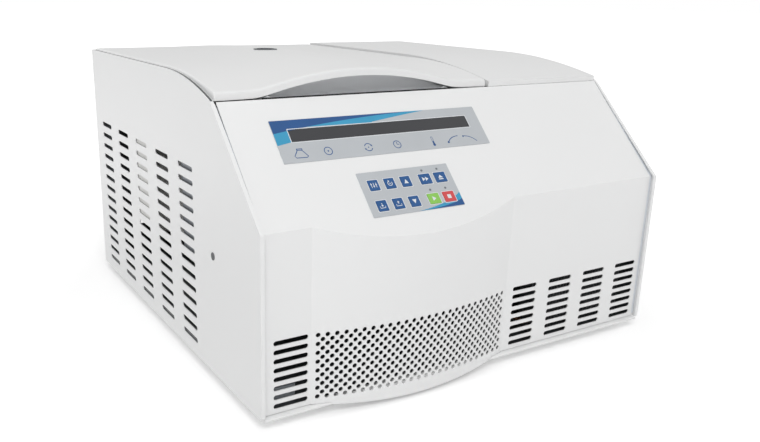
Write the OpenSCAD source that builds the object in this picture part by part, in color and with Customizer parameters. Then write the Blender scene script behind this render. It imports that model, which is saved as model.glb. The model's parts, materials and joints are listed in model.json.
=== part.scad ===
// Refrigerated benchtop microplate centrifuge, built piece by piece.
// The origin lies under the middle of the machine, on the surface it stands on.
// X runs to the right, Y from the front to the rear, Z up. Lengths are in millimetres.

/* [Casing] */
// Width over the two side panels
body_w = 606; // [600:1:620]
// Depth from the rolled front edges to the rear panel
body_d = 607; // [604:1:620]
// Height of the side panels where they are flat on top
side_h = 353; // [351:0.5:358]
// Height of the crease between the upright front and the slope
crease_h = 209; // [205:1:212]
// Depth at which the slope meets the lid
slope_end_y = 121; // [117:1:124]
// Height at which the slope meets the lid
slope_end_z = 328; // [326:0.5:329]
// Depth behind which the shoulder of the side panels is flat
shoulder_y = 264; // [250:2:280]
// Radius that rounds the crease of the side panels
crease_r = 3; // [2:1:20]
// Radius that rounds the slope into the shoulder
corner_r = 35; // [20:5:45]
// Thickness of the sheet metal
sheet = 1.6; // [1.2:0.1:2]
// Width of the flange along the edges of the side panels
flange_w = 4.6; // [3.5:0.1:5.5]
// Height of the rubber feet
foot_h = 14; // [13:1:20]

/* [Front panel] */
// Wall of the front panel
panel_t = 1.5; // [1.5:0.25:3]
// Setback of the front panel behind the flanges
front_setback = 6; // [5:0.5:8]
// Gap along the sides of the front panel
panel_gap = 1.9; // [1:0.1:2.5]
// Height of the lower edge of the front panel
panel_bottom = 1.8; // [1:0.2:3]
// Centre of the bulge, the keypad and the display across the machine
panel_cx = -98; // [-102:1:-94]
// Width of the bulge between its two soft edges
bulge_w = 284; // [270:2:290]
// How far the bulge stands out of the front
bulge_out = 19.7; // [16:0.1:22]
// How steeply the lower edge of the bulge drops
bulge_drop = 0.55; // [0.3:0.05:0.6]
// Pitch of the rows of slots and holes
vent_pitch = 10.7; // [10:0.1:11]
// Height of the lowest row of slots and holes
vent_z = 10.2; // [10:0.1:12]
// Rows of slots
vent_rows = 8; // [4:1:8]
// Height of a front slot
slot_h = 5.9; // [3:0.1:6.5]
// Length of a front slot
slot_len = 41.4; // [30:0.2:43]
// Diameter of a hole in the bulge
hole_d = 5.6; // [3:0.1:6]
// Columns of holes in the bulge
hole_cols = 26; // [10:1:26]
// Distance between the slot groups on the right
group_pitch = 63.8; // [60:0.2:64]

/* [Display and keypad] */
// Width of the display overlay
display_w = 292.6; // [280:0.2:296]
// Height of the display overlay up the slope
display_h = 56.5; // [50:0.5:58]
// Lower edge of the display overlay up the slope
display_s = 79.2; // [76:0.2:82]
// Margin on each side of the dark window
window_side = 19.1; // [15:0.1:25]
// Height of the dark window up the slope
window_h = 17.2; // [14:0.2:20]
// Width of the keypad
keypad_w = 128.4; // [126:0.2:134]
// Height of the keypad up the slope
keypad_h = 57.4; // [56:0.2:60]
// Side of a square key
key_side = 13.4; // [12:0.1:14]
// Width of a broad key
key_broad = 16.1; // [15:0.1:17]
// Gap round a key
key_gap = 0.3; // [0.2:0.05:0.5]
// Travel of a key
key_travel = 0.5; // [0.3:0.1:0.8]
// Distance between the two rows of keys
key_row_pitch = 26.7; // [25:0.1:28]

/* [Side vents] */
// Columns of slots in a side panel
side_cols = 5; // [3:1:5]
// Rows of slots in a side panel
side_rows = 14; // [8:1:14]
// Depth of the middle of the front column
side_vent_y = 207.4; // [200:0.2:210]
// Height of the lowest row
side_vent_z = 20; // [14:0.5:21]
// Pitch of the columns
side_col_pitch = 84.4; // [80:0.2:86]
// Pitch of the rows
side_row_pitch = 17; // [14:0.2:17]
// Length of a side slot
side_slot_len = 49; // [40:1:60]
// Height of a side slot
side_slot_h = 6.6; // [4:0.2:7]

/* [Lid and right cover] */
// Left edge of the lid
lid_x0 = -298; // [-298:0.2:-296]
// Right edge of the lid
lid_x1 = 89; // [80:1:90]
// Height of the flat top of the lid
lid_top = 355; // [353:0.5:358]
// Height of the front lip of the lid
lip_h = 9; // [7:0.5:11]
// Wall of the lid
lid_t = 3; // [2:0.5:4]
// Width of the arch over the finger recess
arch_w = 276; // [250:2:280]
// Rise of the arch
arch_rise = 21; // [16:0.5:22]
// Softness of the feet of the arch
lid_soft = 3; // [1:0.5:5]
// Rounding of the edges of the lid
lid_edge = 2.5; // [1:0.5:2.5]
// Height of the raised middle of the lid
crown_top = 363; // [361:0.5:365]
// Clear diameter of the viewport
view_d = 26; // [20:1:30]
// Left edge of the fixed right cover
cover_x0 = 94; // [93:1:98]
// Height of the flat top of the right cover
cover_top = 357.5; // [355:0.5:360]

/* [Hinge and lock] */
// Depth of the lid hinge axis
hinge_y = 595; // [592:1:596]
// Height of the lid hinge axis
hinge_z = 337.5; // [336:0.5:339]
// Radius of the hinge pins
hinge_pin_r = 4; // [3:0.5:5]
// Distance between the two hinges
hinge_span = 300; // [200:10:320]
// Distance between the two lock hooks
lock_span = 200; // [160:10:220]
// Radius of the lock shaft
lock_shaft_r = 3; // [2.5:0.5:3.5]

/* [Chamber] */
// Centre of the chamber across the machine
chamber_x = -101; // [-103:1:-97]
// Centre of the chamber in depth
chamber_y = 395; // [393:1:397]
// Inner radius of the bowl
bowl_r = 172; // [172:1:174]
// Wall of the bowl
bowl_t = 1.5; // [1:0.25:2]
// Height of the bowl floor
bowl_floor = 150; // [148:1:155]
// Outer radius of the insulation
foam_r = 192; // [190:1:193]
// Height of the underside of the deck
deck_z = 319; // [317:1:320]
// Thickness of the deck
deck_t = 3; // [2:0.5:3]

/* [Rotor and buckets] */
// Distance of the bucket pivots from the rotor axis
pivot_r = 80; // [78:1:82]
// Height of the bucket pivots
pivot_z = 270; // [268:1:272]
// Radius of the bucket pins
trunnion_r = 5; // [4:0.5:6]
// Radial clearance of pins and shafts that turn
running_fit = 0.05; // [0.02:0.01:0.1]
// Length of the space in a bucket
bucket_len = 130; // [128.5:0.5:132]
// Width of the space in a bucket
bucket_wid = 87; // [86:0.5:88]
// Depth of a bucket below its rim
bucket_dep = 50; // [30:1:50]
// Wall of a bucket
bucket_t = 2; // [1.5:0.25:3]
// Radius of the motor shaft
shaft_r = 10; // [8:0.5:12]

/* [Cooling] */
// Radius of the compressor shell
comp_r = 58; // [50:1:62]
// Height of the compressor shell
comp_h = 165; // [140:1:180]
// Radius of the fan blades
fan_r = 58; // [50:1:60]
// Number of condenser fins
fin_count = 30; // [15:1:32]

/* [Hidden] */
$fn = 96;
eps = 0.01;

half_w = body_w / 2;
rear_proud = 3;
front_out = bulge_out - front_setback;
mid_y = (body_d + rear_proud - front_out) / 2;

white = [0.93, 0.93, 0.92];
pale = [0.80, 0.81, 0.81];
steel = [0.72, 0.74, 0.76];
dark = [0.16, 0.17, 0.18];
copper = [0.75, 0.45, 0.28];
rubber = [0.10, 0.10, 0.11];
blue = [0.18, 0.36, 0.60];
green = [0.50, 0.78, 0.32];
red = [0.82, 0.26, 0.26];
overlay = [0.74, 0.77, 0.80];

// Slope of the side panels and of the front panel
side_a = atan((slope_end_z - 1.5 - crease_h) / (slope_end_y - 1));
panel_crease_z = crease_h - 0.6;
panel_a = atan((slope_end_z - panel_crease_z) / (slope_end_y - front_setback));
panel_slope_len = (slope_end_y - front_setback) / cos(panel_a);
panel_half = half_w - flange_w - panel_gap;

// Dark window in the display overlay
window_w = display_w - 2 * window_side;
window_down = 21.4;
window_s = display_s + display_h - window_down;

// Circle of the side panels' shoulder
shoulder_dy = shoulder_y - slope_end_y;
shoulder_dz = side_h - slope_end_z;
shoulder_r = (shoulder_dy * shoulder_dy + shoulder_dz * shoulder_dz) / (2 * shoulder_dz);
shoulder_c = [shoulder_y, side_h - shoulder_r];

// Bulge of the front panel
bulge_r = (bulge_w * bulge_w / 4 + bulge_out * bulge_out) / (2 * bulge_out);
bulge_cy = bulge_r - front_out;

// Lid
lid_cx = (lid_x0 + lid_x1) / 2;
lid_y0 = slope_end_y + 2;
lid_y1 = body_d - 1;
lid_z0 = slope_end_z + 0.8;
lip_top = lid_z0 + lip_h;
arch_r = (arch_w * arch_w / 4 + arch_rise * arch_rise) / (2 * arch_rise);
arch_top = lip_top + arch_rise;
liner_z = lid_z0 + 0.7;
liner_t = 2;
plug_drop = 6;

// Deck and chamber
deck_top = deck_z + deck_t;
rim_r = bowl_r + 14;
seal_r = bowl_r + 7;
seal_t = (liner_z - deck_top - bowl_t - 0.3) / 2;
coil_r = 2.8;
coil_mid = bowl_r + bowl_t + coil_r + 0.6;
foam_in = coil_mid + coil_r + 0.3;

// Latch
lock_y = 181;
lock_shaft_y = lock_y + 15;
lock_shaft_z = 290;
striker_r = 2;
striker_z = 303;
striker_leg = 7;

key_cols = [for (x = [-47.6, -25.5, -3.1, 24.8, 47]) panel_cx + x];
key_row_s = 13;

// Puts what is drawn from the casing's own corner into the machine's frame
module place() {
  translate([0, -mid_y, foot_h]) children();
}

// Frame that lies on the slope: X across, Y up the slope, Z out of it
module on_slope() {
  translate([0, front_setback, panel_crease_z]) rotate([panel_a, 0, 0]) children();
}

// Extrudes a shape drawn in depth and height across the machine
module across(x0, x1) {
  translate([x0, 0, 0]) rotate([90, 0, 90]) linear_extrude(height = x1 - x0) children();
}

// Extrudes a shape drawn in width and height from the front to the rear
module rearward(y0, y1) {
  translate([0, y1, 0]) rotate([90, 0, 0]) linear_extrude(height = y1 - y0) children();
}

module box(x0, x1, y0, y1, z0, z1) {
  translate([x0, y0, z0]) cube([x1 - x0, y1 - y0, z1 - z0]);
}

module slot2d(len, h) {
  square([len - h, h], center = true);
  for (s = [-1, 1]) translate([s * (len - h) / 2, 0]) circle(d = h, $fn = 24);
}

module rounded_square(w, h, r) {
  square([w - 2 * r, h], center = true);
  square([w, h - 2 * r], center = true);
  for (i = [-1, 1], j = [-1, 1]) translate([i * (w / 2 - r), j * (h / 2 - r)]) circle(r = r, $fn = 24);
}

module ring(r_out, r_in, h) {
  difference() {
    cylinder(r = r_out, h = h);
    translate([0, 0, -1]) cylinder(r = r_in, h = h + 2);
  }
}

// Corner of the side outline where the front and the slope meet, set in by e
function crease_pt(e) = [e, crease_h - e * cos(side_a) + e * (1 - sin(side_a)) * tan(side_a)];
crease_c = crease_pt(crease_r);
// Where the slope is a distance r inside its line, measured along the normal
slope_n = [-sin(side_a), cos(side_a)];
slope_c = slope_n[1] * crease_h;
corner_phi = side_a - acos((slope_c - corner_r - slope_n * shoulder_c) / (shoulder_r - corner_r));
corner_c = shoulder_c + (shoulder_r - corner_r) * [-sin(corner_phi), cos(corner_phi)];

// Rounding of the low front corner of the side panels
foot_r = 4;

// Side outline of the casing, set in by e, drawn down to z0 and back to y1
module side_outline(e, z0, y1) {
  corner_on = shoulder_c + (shoulder_r - e) * [-sin(corner_phi), cos(corner_phi)];
  polygon([
    [e + foot_r, z0], [e, z0 + foot_r], [e, crease_c[1]], crease_c + (crease_r - e) * slope_n,
    corner_c + (corner_r - e) * slope_n, corner_on,
    [shoulder_y, side_h - e], [y1, side_h - e], [y1, z0]
  ]);
  translate([e + foot_r, z0 + foot_r]) circle(r = foot_r);
  translate(crease_c) circle(r = crease_r - e);
  translate(corner_c) circle(r = corner_r - e);
  intersection() {
    translate(shoulder_c) circle(r = shoulder_r - e, $fn = 360);
    polygon([corner_on, corner_on + [-8, 40], [shoulder_y, side_h + 30], [shoulder_y, side_h - e]]);
  }
}

module side_vents() {
  for (c = [0 : side_cols - 1], r = [0 : side_rows - 1])
    translate([side_vent_y + c * side_col_pitch, side_vent_z + r * side_row_pitch])
      slot2d(side_slot_len, side_slot_h);
}

plug_r = 4.7;
plug_at = [125, 151];

// Left-hand side panel with its outer face at x = 0 and the machine on its right
module side_panel(with_plug) {
  difference() {
    across(0, flange_w) difference() {
      side_outline(0, 0, body_d);
      side_vents();
      if (with_plug) translate(plug_at) circle(r = plug_r);
    }
    across(sheet, flange_w + 1) side_outline(sheet, -10, body_d + 10);
  }
  // Flange that takes the screws of the rear panel
  rearward(body_d - 2 * sheet, body_d - sheet) difference() {
    translate([0.5, 22]) square([16, deck_z - 24]);
    for (z = screw_z) translate([screw_inset, z]) circle(r = screw_r);
  }
}

module left_side_panel() {
  color(white) place() translate([-half_w, 0, 0]) side_panel(true);
}

module right_side_panel() {
  color(white) place() mirror([1, 0, 0]) translate([-half_w, 0, 0]) side_panel(false);
}

module release_plug() {
  color(dark) place() translate([-half_w, plug_at[0], plug_at[1]]) rotate([0, 90, 0]) {
    translate([0, 0, -0.6]) cylinder(r = plug_r, h = sheet + 2.6);
    translate([0, 0, sheet]) cylinder(r = plug_r + 1.5, h = 1.5);
  }
}

tray_half = half_w - sheet - 0.2;

module base_tray() {
  color(white) place() {
    difference() {
      box(-tray_half, tray_half, front_setback + panel_t + 0.2, body_d - sheet - 0.2, 0, 20);
      box(-tray_half + sheet, tray_half - sheet, 0, body_d - 2 * sheet - 0.2, sheet, 30);
      for (c = [0 : 4], r = [0 : 7])
        translate([150 + c * 28, 130 + r * 14, -1]) linear_extrude(height = 5) slot2d(20, 5);
      for (x = screw_low) translate([x, body_d, screw_low_z]) rotate([90, 0, 0]) cylinder(r = screw_r, h = 10);
    }
    difference() {
      across(-half_w + flange_w, half_w - flange_w) union() {
        translate([0.6, -0.8]) circle(r = 1.6);
        polygon([[0.6, -2.4], [12, -2.4], [12, 0], [12, 0.8], [0.6, 0.8]]);
      }
      translate([0, 0, -10]) linear_extrude(height = 20) bulge_clear();
    }
  }
}

// Room that the bulge needs in front of the base
module bulge_clear() {
  intersection() {
    translate([panel_cx, bulge_cy]) circle(r = bulge_r + 0.5, $fn = 720);
    translate([panel_cx - bulge_w / 2, -30]) square([bulge_w, 30 + front_setback + panel_t]);
  }
}

foot_x = 190;
foot_y0 = 105;
foot_y1 = 530;

module feet() {
  color(rubber) place() for (x = [-foot_x, foot_x], y = [foot_y0, foot_y1]) translate([x, y, -foot_h])
    rotate_extrude() polygon([[0, 0], [17, 0], [18, 1], [20, foot_h], [0, foot_h]]);
}

// Plan of the front panel's outer face, set in by t
module panel_plan(t) {
  translate([-panel_half - (t > 0 ? 5 : 0), front_setback + t])
    square([2 * panel_half + (t > 0 ? 10 : 0), 200]);
  intersection() {
    translate([panel_cx, bulge_cy]) circle(r = bulge_r - t, $fn = 720);
    translate([panel_cx - bulge_w / 2, -front_out - 1])
      square([bulge_w, front_out + 1 + front_setback + t + 1]);
  }
}

// Side view of the front panel, set in by t
module panel_side(t) {
  reach = 40;
  y0 = front_setback - reach;
  polygon([
    [y0, panel_bottom - bulge_drop * reach - (t > 0 ? 20 : 0)],
    [front_setback, panel_bottom - (t > 0 ? 20 : 0)],
    [t > 0 ? 260 : slope_end_y, panel_bottom - (t > 0 ? 20 : 0)],
    [t > 0 ? 260 : slope_end_y, panel_crease_z - t / cos(panel_a)
      + ((t > 0 ? 260 : slope_end_y) - front_setback) * tan(panel_a)],
    [y0, panel_crease_z - t / cos(panel_a) - reach * tan(panel_a)]
  ]);
}

module panel_holes() {
  x0 = panel_cx - (hole_cols - 1) * vent_pitch / 2;
  for (c = [0 : hole_cols - 1], r = [0 : vent_rows - 1])
    translate([x0 + c * vent_pitch, vent_z + r * vent_pitch]) circle(d = hole_d, $fn = 24);
  for (c = [0 : hole_cols - 2], r = [0 : vent_rows - 2])
    translate([x0 + (c + 0.5) * vent_pitch, vent_z + (r + 0.5) * vent_pitch]) circle(d = hole_d, $fn = 24);
}

group_x0 = 77.2;

module panel_slots() {
  for (r = [0 : vent_rows - 1]) translate([0, vent_z + r * vent_pitch]) {
    translate([-264.3, 0]) slot2d(slot_len + 1.2, slot_h);
    for (g = [0 : 3]) translate([group_x0 + g * group_pitch, 0]) slot2d(slot_len, slot_h);
  }
}

module front_panel() {
  color(white) place() difference() {
    union() {
      difference() {
        intersection() {
          translate([0, 0, -20]) linear_extrude(height = 400) panel_plan(0);
          across(-panel_half - 1, panel_half + 1) panel_side(0);
        }
        intersection() {
          translate([0, 0, -40]) linear_extrude(height = 450) panel_plan(panel_t);
          across(-panel_half - 10, panel_half + 10) panel_side(panel_t);
        }
        rearward(-30, 40) union() {
          panel_holes();
          panel_slots();
        }
      }
      // Bosses that carry the control board
      on_slope() for (x = board_posts_x, s = board_posts_s)
        translate([x, s, board_n]) cylinder(r = 4, h = -board_n - panel_t + 0.5);
    }
    on_slope() {
      translate([panel_cx, window_s, -10])
        linear_extrude(height = 20) square([window_w + 4, window_h + 8], center = true);
      translate([panel_cx, keypad_h / 2 - 0.1, -10])
        linear_extrude(height = 20) square([keypad_w - 6, keypad_h - 8], center = true);
    }
  }
}

module rear_panel() {
  top = deck_top - 1;
  color(white) place() difference() {
    rearward(body_d - sheet, body_d) difference() {
      polygon([[-tray_half, sheet], [tray_half, sheet], [tray_half, top], [-tray_half, top]]);
      translate([inlet_x, inlet_z]) square([inlet_w - 6, inlet_h - 6], center = true);
      for (r = [0 : 9], c = [0 : 2]) translate([150 + c * 60, 170 + r * 12]) slot2d(44, 5);
      for (r = [0 : 6], c = [0 : 3]) translate([-220 + c * 70, 60 + r * 12]) slot2d(50, 5);
      for (p = screw_points) translate(p) circle(r = screw_r);
    }
  }
}

screw_r = 2;
screw_inset = 12;
screw_z = [32, 165, 300];
screw_low = [-150, 0, 120];
screw_low_z = 12;
screw_points = [
  for (x = [-1, 1], z = screw_z) [x * (half_w - screw_inset), z],
  for (x = screw_low) [x, screw_low_z]
];

module panel_screws() {
  color(steel) place() for (p = screw_points) translate([p[0], body_d, p[1]]) rotate([90, 0, 0]) {
    cylinder(r = screw_r, h = sheet + 6);
    translate([0, 0, -2]) difference() {
      cylinder(r = 4, h = 2);
      translate([0, 0, -1]) cylinder(r = 1.6, h = 2, $fn = 6);
    }
  }
}

// Side view of a curved cover: lip at the front, arc, flat top
module cover_side(y0, z0, z1, y_flat, z_top, y1, e) {
  dy = y_flat - y0;
  dz = z_top - z1;
  r = (dy * dy + dz * dz) / (2 * dz);
  y_in = y0 + e;
  z_in = z_top - r + sqrt((r - e) * (r - e) - (y_flat - y_in) * (y_flat - y_in));
  polygon([[y_in, z0], [y_in, z_in], [y_flat, z_top - e], [y1 - e, z_top - e], [y1 - e, z0]]);
  intersection() {
    translate([y_flat, z_top - r]) circle(r = r - e, $fn = 720);
    polygon([[y_in, z_in], [y_in, z_top + 20], [y_flat, z_top + 20], [y_flat, z_top - e]]);
  }
}

cover_flat_y = 310;
cover_x1 = half_w - flange_w - panel_gap;

cover_y0 = slope_end_y + 0.5;
cover_y1 = body_d - 1;

module right_top_cover() {
  color(white) place() {
    difference() {
      across(cover_x0, cover_x1)
        cover_side(cover_y0, slope_end_z + 0.2, slope_end_z + 7, cover_flat_y, cover_top, cover_y1, 0);
      across(cover_x0 + 2, cover_x1 - 2)
        cover_side(cover_y0, 300, slope_end_z + 7, cover_flat_y, cover_top, cover_y1, 2);
    }
    // Skirts that stand on the deck and on the rail of the right-hand side panel
    for (x = [cover_x0, cover_x1 - 2]) box(x, x + 2, cover_y0 + 10, cover_y1, deck_top, slope_end_z + 1);
  }
}

// Outer skin of the lid: a lip, an arc and a flat, with a shallow arch that rises over the chamber
lid_flat_y = shoulder_y + 6;
lid_arc_dy = lid_flat_y - lid_y0;
lid_arc_dz = lid_top - lip_top;
lid_arc_r = (lid_arc_dy * lid_arc_dy + lid_arc_dz * lid_arc_dz) / (2 * lid_arc_dz);
crown_y = chamber_y - 70;
crown_dz = crown_top - arch_top;
crown_len = crown_y - lid_y0;
crown_r = (crown_len * crown_len + crown_dz * crown_dz) / (2 * crown_dz);
lid_half = (lid_x1 - lid_x0) / 2;

function smooth_max(a, b) = (a + b + sqrt((a - b) * (a - b) + lid_soft * lid_soft)) / 2;
function lid_base(y) = y > lid_flat_y ? lid_top
  : lid_top - lid_arc_r + sqrt(lid_arc_r * lid_arc_r - (lid_flat_y - y) * (lid_flat_y - y));
function crown_line(y) = crown_top - crown_r + sqrt(crown_r * crown_r - (y - crown_y) * (y - crown_y));
function arch_line(dx) = sqrt(arch_r * arch_r - dx * dx) - arch_r;
function lid_skin(dx, y) = smooth_max(lid_base(y), crown_line(y) + arch_line(dx));
function lid_under(dx) = smooth_max(lid_z0, lid_z0 + arch_rise + arch_line(dx));
function edge_drop(d) = d >= lid_edge ? 0 : lid_edge - sqrt(lid_edge * lid_edge - (lid_edge - d) * (lid_edge - d));

// Lines of the lid's net across the machine and in depth
lid_nx = 42;
lid_dx = concat([-lid_half, -lid_half + 0.25 * lid_edge],
  [for (i = [0 : lid_nx]) (2 * i / lid_nx - 1) * (lid_half - lid_edge)],
  [lid_half - 0.25 * lid_edge, lid_half]);
lid_y = concat([lid_y0, lid_y0 + 0.25 * lid_edge],
  [for (i = [0 : 10]) lid_y0 + lid_edge + i * (lid_flat_y - lid_y0 - lid_edge) / 10],
  [for (i = [1 : 8]) lid_flat_y + i * (lid_y1 - lid_edge - lid_flat_y) / 8],
  [lid_y1 - 0.25 * lid_edge, lid_y1]);

module lid_shell() {
  nx = len(lid_dx);
  ny = len(lid_y);
  n = nx * ny;
  shrink_x = (lid_half - lid_t) / lid_half;
  shrink_y = (lid_y1 - lid_y0 - 2 * lid_t) / (lid_y1 - lid_y0);
  rim = concat([for (i = [0 : nx - 1]) [i, 0]], [for (j = [1 : ny - 1]) [nx - 1, j]],
    [for (i = [nx - 2 : -1 : 0]) [i, ny - 1]], [for (j = [ny - 2 : -1 : 1]) [0, j]]);
  m = len(rim);
  outer = [for (j = [0 : ny - 1], i = [0 : nx - 1]) [lid_cx + lid_dx[i], lid_y[j],
    lid_skin(lid_dx[i], lid_y[j]) - edge_drop(lid_half - abs(lid_dx[i]))
      - edge_drop(min(lid_y[j] - lid_y0, lid_y1 - lid_y[j]))]];
  inner = [for (j = [0 : ny - 1], i = [0 : nx - 1])
    let (dx = lid_dx[i] * shrink_x, y = lid_y0 + lid_t + (lid_y[j] - lid_y0) * shrink_y)
    [lid_cx + dx, y, lid_skin(dx, y) - lid_t]];
  outer_foot = [for (k = rim) [outer[k[1] * nx + k[0]][0], outer[k[1] * nx + k[0]][1],
    k[1] == 0 ? lid_under(lid_dx[k[0]]) : lid_z0]];
  inner_foot = [for (k = rim) [inner[k[1] * nx + k[0]][0], inner[k[1] * nx + k[0]][1],
    k[1] == 0 ? lid_under(lid_dx[k[0]]) : lid_z0]];
  polyhedron(
    points = concat(outer, inner, outer_foot, inner_foot),
    faces = concat(
      [for (j = [0 : ny - 2], i = [0 : nx - 2], h = [0, 1])
        let (a = j * nx + i, b = a + 1, c = b + nx, d = a + nx) h == 0 ? [a, d, c] : [a, c, b]],
      [for (j = [0 : ny - 2], i = [0 : nx - 2], h = [0, 1])
        let (a = n + j * nx + i, b = a + 1, c = b + nx, d = a + nx) h == 0 ? [a, c, d] : [a, b, c]],
      [for (k = [0 : m - 1], h = [0, 1])
        let (l = (k + 1) % m, ta = rim[k][1] * nx + rim[k][0], tb = rim[l][1] * nx + rim[l][0],
          ba = 2 * n + k, bb = 2 * n + l) h == 0 ? [ta, tb, bb] : [ta, bb, ba]],
      [for (k = [0 : m - 1], h = [0, 1])
        let (l = (k + 1) % m, ta = n + rim[k][1] * nx + rim[k][0], tb = n + rim[l][1] * nx + rim[l][0],
          ba = 2 * n + m + k, bb = 2 * n + m + l) h == 0 ? [bb, tb, ta] : [ba, bb, ta]],
      [for (k = [0 : m - 1], h = [0, 1])
        let (l = (k + 1) % m, oa = 2 * n + k, ob = 2 * n + l, ia = oa + m, ib = ob + m)
        h == 0 ? [oa, ob, ib] : [oa, ib, ia]]
    )
  );
}

module lid_cover() {
  color(white) place() difference() {
    lid_shell();
    translate([chamber_x, chamber_y, 300]) cylinder(r = view_d / 2 + 3, h = 100);
    translate([chamber_x, chamber_y, crown_top - 0.9]) cylinder(r = view_d / 2 + 4.5, h = 10);
    for (s = [-1, 1]) translate([lid_cx + s * hinge_span / 2, lid_y1, lid_z0])
      cube([34, 40, 40], center = true);
  }
}

module viewport_ring() {
  color(dark) place() translate([chamber_x, chamber_y, 0]) difference() {
    union() {
      translate([0, 0, liner_z]) cylinder(r = view_d / 2 + 3, h = crown_top - liner_z + 0.2);
      translate([0, 0, crown_top - 0.9]) cylinder(r = view_d / 2 + 4.5, h = 1.6);
    }
    translate([0, 0, liner_z - 5]) cylinder(r = view_d / 2, h = 60);
  }
}

module viewport_window() {
  color("slategray") place() translate([chamber_x, chamber_y, crown_top - 5]) cylinder(r = view_d / 2, h = 3);
}

module lid_liner() {
  color(pale) place() difference() {
    union() {
      box(lid_x0 + lid_t, lid_x1 - lid_t, 172, hinge_y - 22, liner_z, liner_z + liner_t);
      translate([chamber_x, chamber_y, liner_z - plug_drop]) cylinder(r = bowl_r - 8, h = plug_drop + 1);
    }
    translate([chamber_x, chamber_y, 0]) cylinder(r = view_d / 2 + 3, h = 400);
    translate([chamber_x, chamber_y, liner_z - plug_drop - 1])
      ring(bowl_r - 10, view_d / 2 + 6, plug_drop + 1);
    for (s = [-1, 1], l = [-1, 1])
      translate([lid_cx + s * lock_span / 2 + l * striker_leg, lock_y, 300]) cylinder(r = striker_r, h = 60);
    for (s = [-1, 1]) translate([lid_cx + s * hinge_span / 2, hinge_y - 40, liner_z])
      cylinder(r = 3, h = 50, center = true);
  }
}

// Two loops of round bar that hang from the lid
module lid_strikers() {
  color(steel) place() for (s = [-1, 1]) translate([lid_cx + s * lock_span / 2, lock_y, 0]) {
    for (l = [-1, 1]) translate([l * striker_leg, 0, striker_z])
      cylinder(r = striker_r, h = liner_z + liner_t + 2 - striker_z);
    translate([-striker_leg, 0, striker_z]) rotate([0, 90, 0]) cylinder(r = striker_r, h = 2 * striker_leg);
    for (l = [-1, 1]) translate([l * striker_leg, 0, striker_z]) sphere(r = striker_r);
  }
}

hinge_half = 6;

// Arms that reach back from the lid to the hinge pins
module hinge_arms() {
  color(steel) place() for (s = [-1, 1]) translate([lid_cx + s * hinge_span / 2, 0, 0]) difference() {
    union() {
      translate([-hinge_half, hinge_y, hinge_z]) rotate([0, 90, 0]) cylinder(r = 7.2, h = 2 * hinge_half);
      box(-hinge_half, hinge_half, hinge_y - 50, hinge_y, hinge_z, hinge_z + 5);
      box(-hinge_half, hinge_half, hinge_y - 50, hinge_y - 30, liner_z + liner_t, hinge_z + 1);
      translate([0, hinge_y - 40, liner_z]) cylinder(r = 3, h = 6);
    }
    translate([-20, hinge_y, hinge_z]) rotate([0, 90, 0]) cylinder(r = hinge_pin_r + running_fit, h = 40);
  }
}

module hinge_brackets() {
  color(steel) place() for (s = [-1, 1]) translate([lid_cx + s * hinge_span / 2, 0, 0]) {
    difference() {
      for (l = [-1, 1]) across(l * (hinge_half + 2.3) - 1.5, l * (hinge_half + 2.3) + 1.5) union() {
        translate([hinge_y, hinge_z]) circle(r = 7.2);
        polygon([[hinge_y - 7.2, hinge_z], [hinge_y - 14, deck_top], [hinge_y + 7.2, deck_top], [hinge_y + 7.2, hinge_z]]);
      }
      translate([-20, hinge_y, hinge_z]) rotate([0, 90, 0]) cylinder(r = hinge_pin_r, h = 40);
    }
  }
}

module hinge_pins() {
  color(steel) place() for (s = [-1, 1]) translate([lid_cx + s * hinge_span / 2 - hinge_half - 4.5, hinge_y, hinge_z])
    rotate([0, 90, 0]) {
      cylinder(r = hinge_pin_r, h = 2 * hinge_half + 9);
      translate([0, 0, -1.5]) cylinder(r = hinge_pin_r + 1.5, h = 1.5);
    }
}

deck_x1 = cover_x0 + 2 + sheet;

module chamber_deck() {
  color(pale) place() difference() {
    box(-tray_half, deck_x1, slope_end_y + 4, body_d - sheet - 1, deck_z, deck_top);
    translate([chamber_x, chamber_y, 0]) cylinder(r = bowl_r + bowl_t, h = 400);
    for (s = [-1, 1]) translate([lid_cx + s * lock_span / 2, lock_y, deck_z])
      cube([2 * striker_leg + 12, 14, 20], center = true);
  }
}

recess_y1 = 169;
recess_top = lip_top + 3.5;

// Concave grip under the arch of the lid
module finger_recess() {
  color(pale) place() across(lid_cx - arch_w / 2 + 2, lid_cx + arch_w / 2 - 2) difference() {
    polygon([[lid_y0 + lid_t + 0.5, deck_top], [recess_y1, deck_top],
      [recess_y1, recess_top], [lid_y0 + lid_t + 0.5, recess_top]]);
    translate([lid_y0 + 13, lip_top + 14]) circle(r = 27);
  }
}

module chamber_bowl() {
  color(steel) place() translate([chamber_x, chamber_y, 0]) rotate_extrude($fn = 180) difference() {
    union() {
      translate([0, bowl_floor - bowl_t]) square([bowl_r + bowl_t - 25, 30]);
      translate([0, bowl_floor - bowl_t + 25]) square([bowl_r + bowl_t, deck_top - bowl_floor + bowl_t - 25]);
      translate([bowl_r + bowl_t - 25, bowl_floor - bowl_t + 25]) circle(r = 25);
      translate([bowl_r - 1, deck_top]) square([rim_r - bowl_r + 1, bowl_t]);
    }
    translate([0, bowl_floor + 25 - bowl_t]) square([bowl_r, 300]);
    translate([24, bowl_floor]) square([bowl_r + bowl_t - 25 - 24, 60]);
    translate([bowl_r + bowl_t - 25, bowl_floor - bowl_t + 25]) circle(r = 25 - bowl_t);
    translate([-1, 0]) square([23, 400]);
  }
}

foam_pad_y0 = chamber_y - 56;
foam_pad_y1 = chamber_y + 22;

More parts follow.
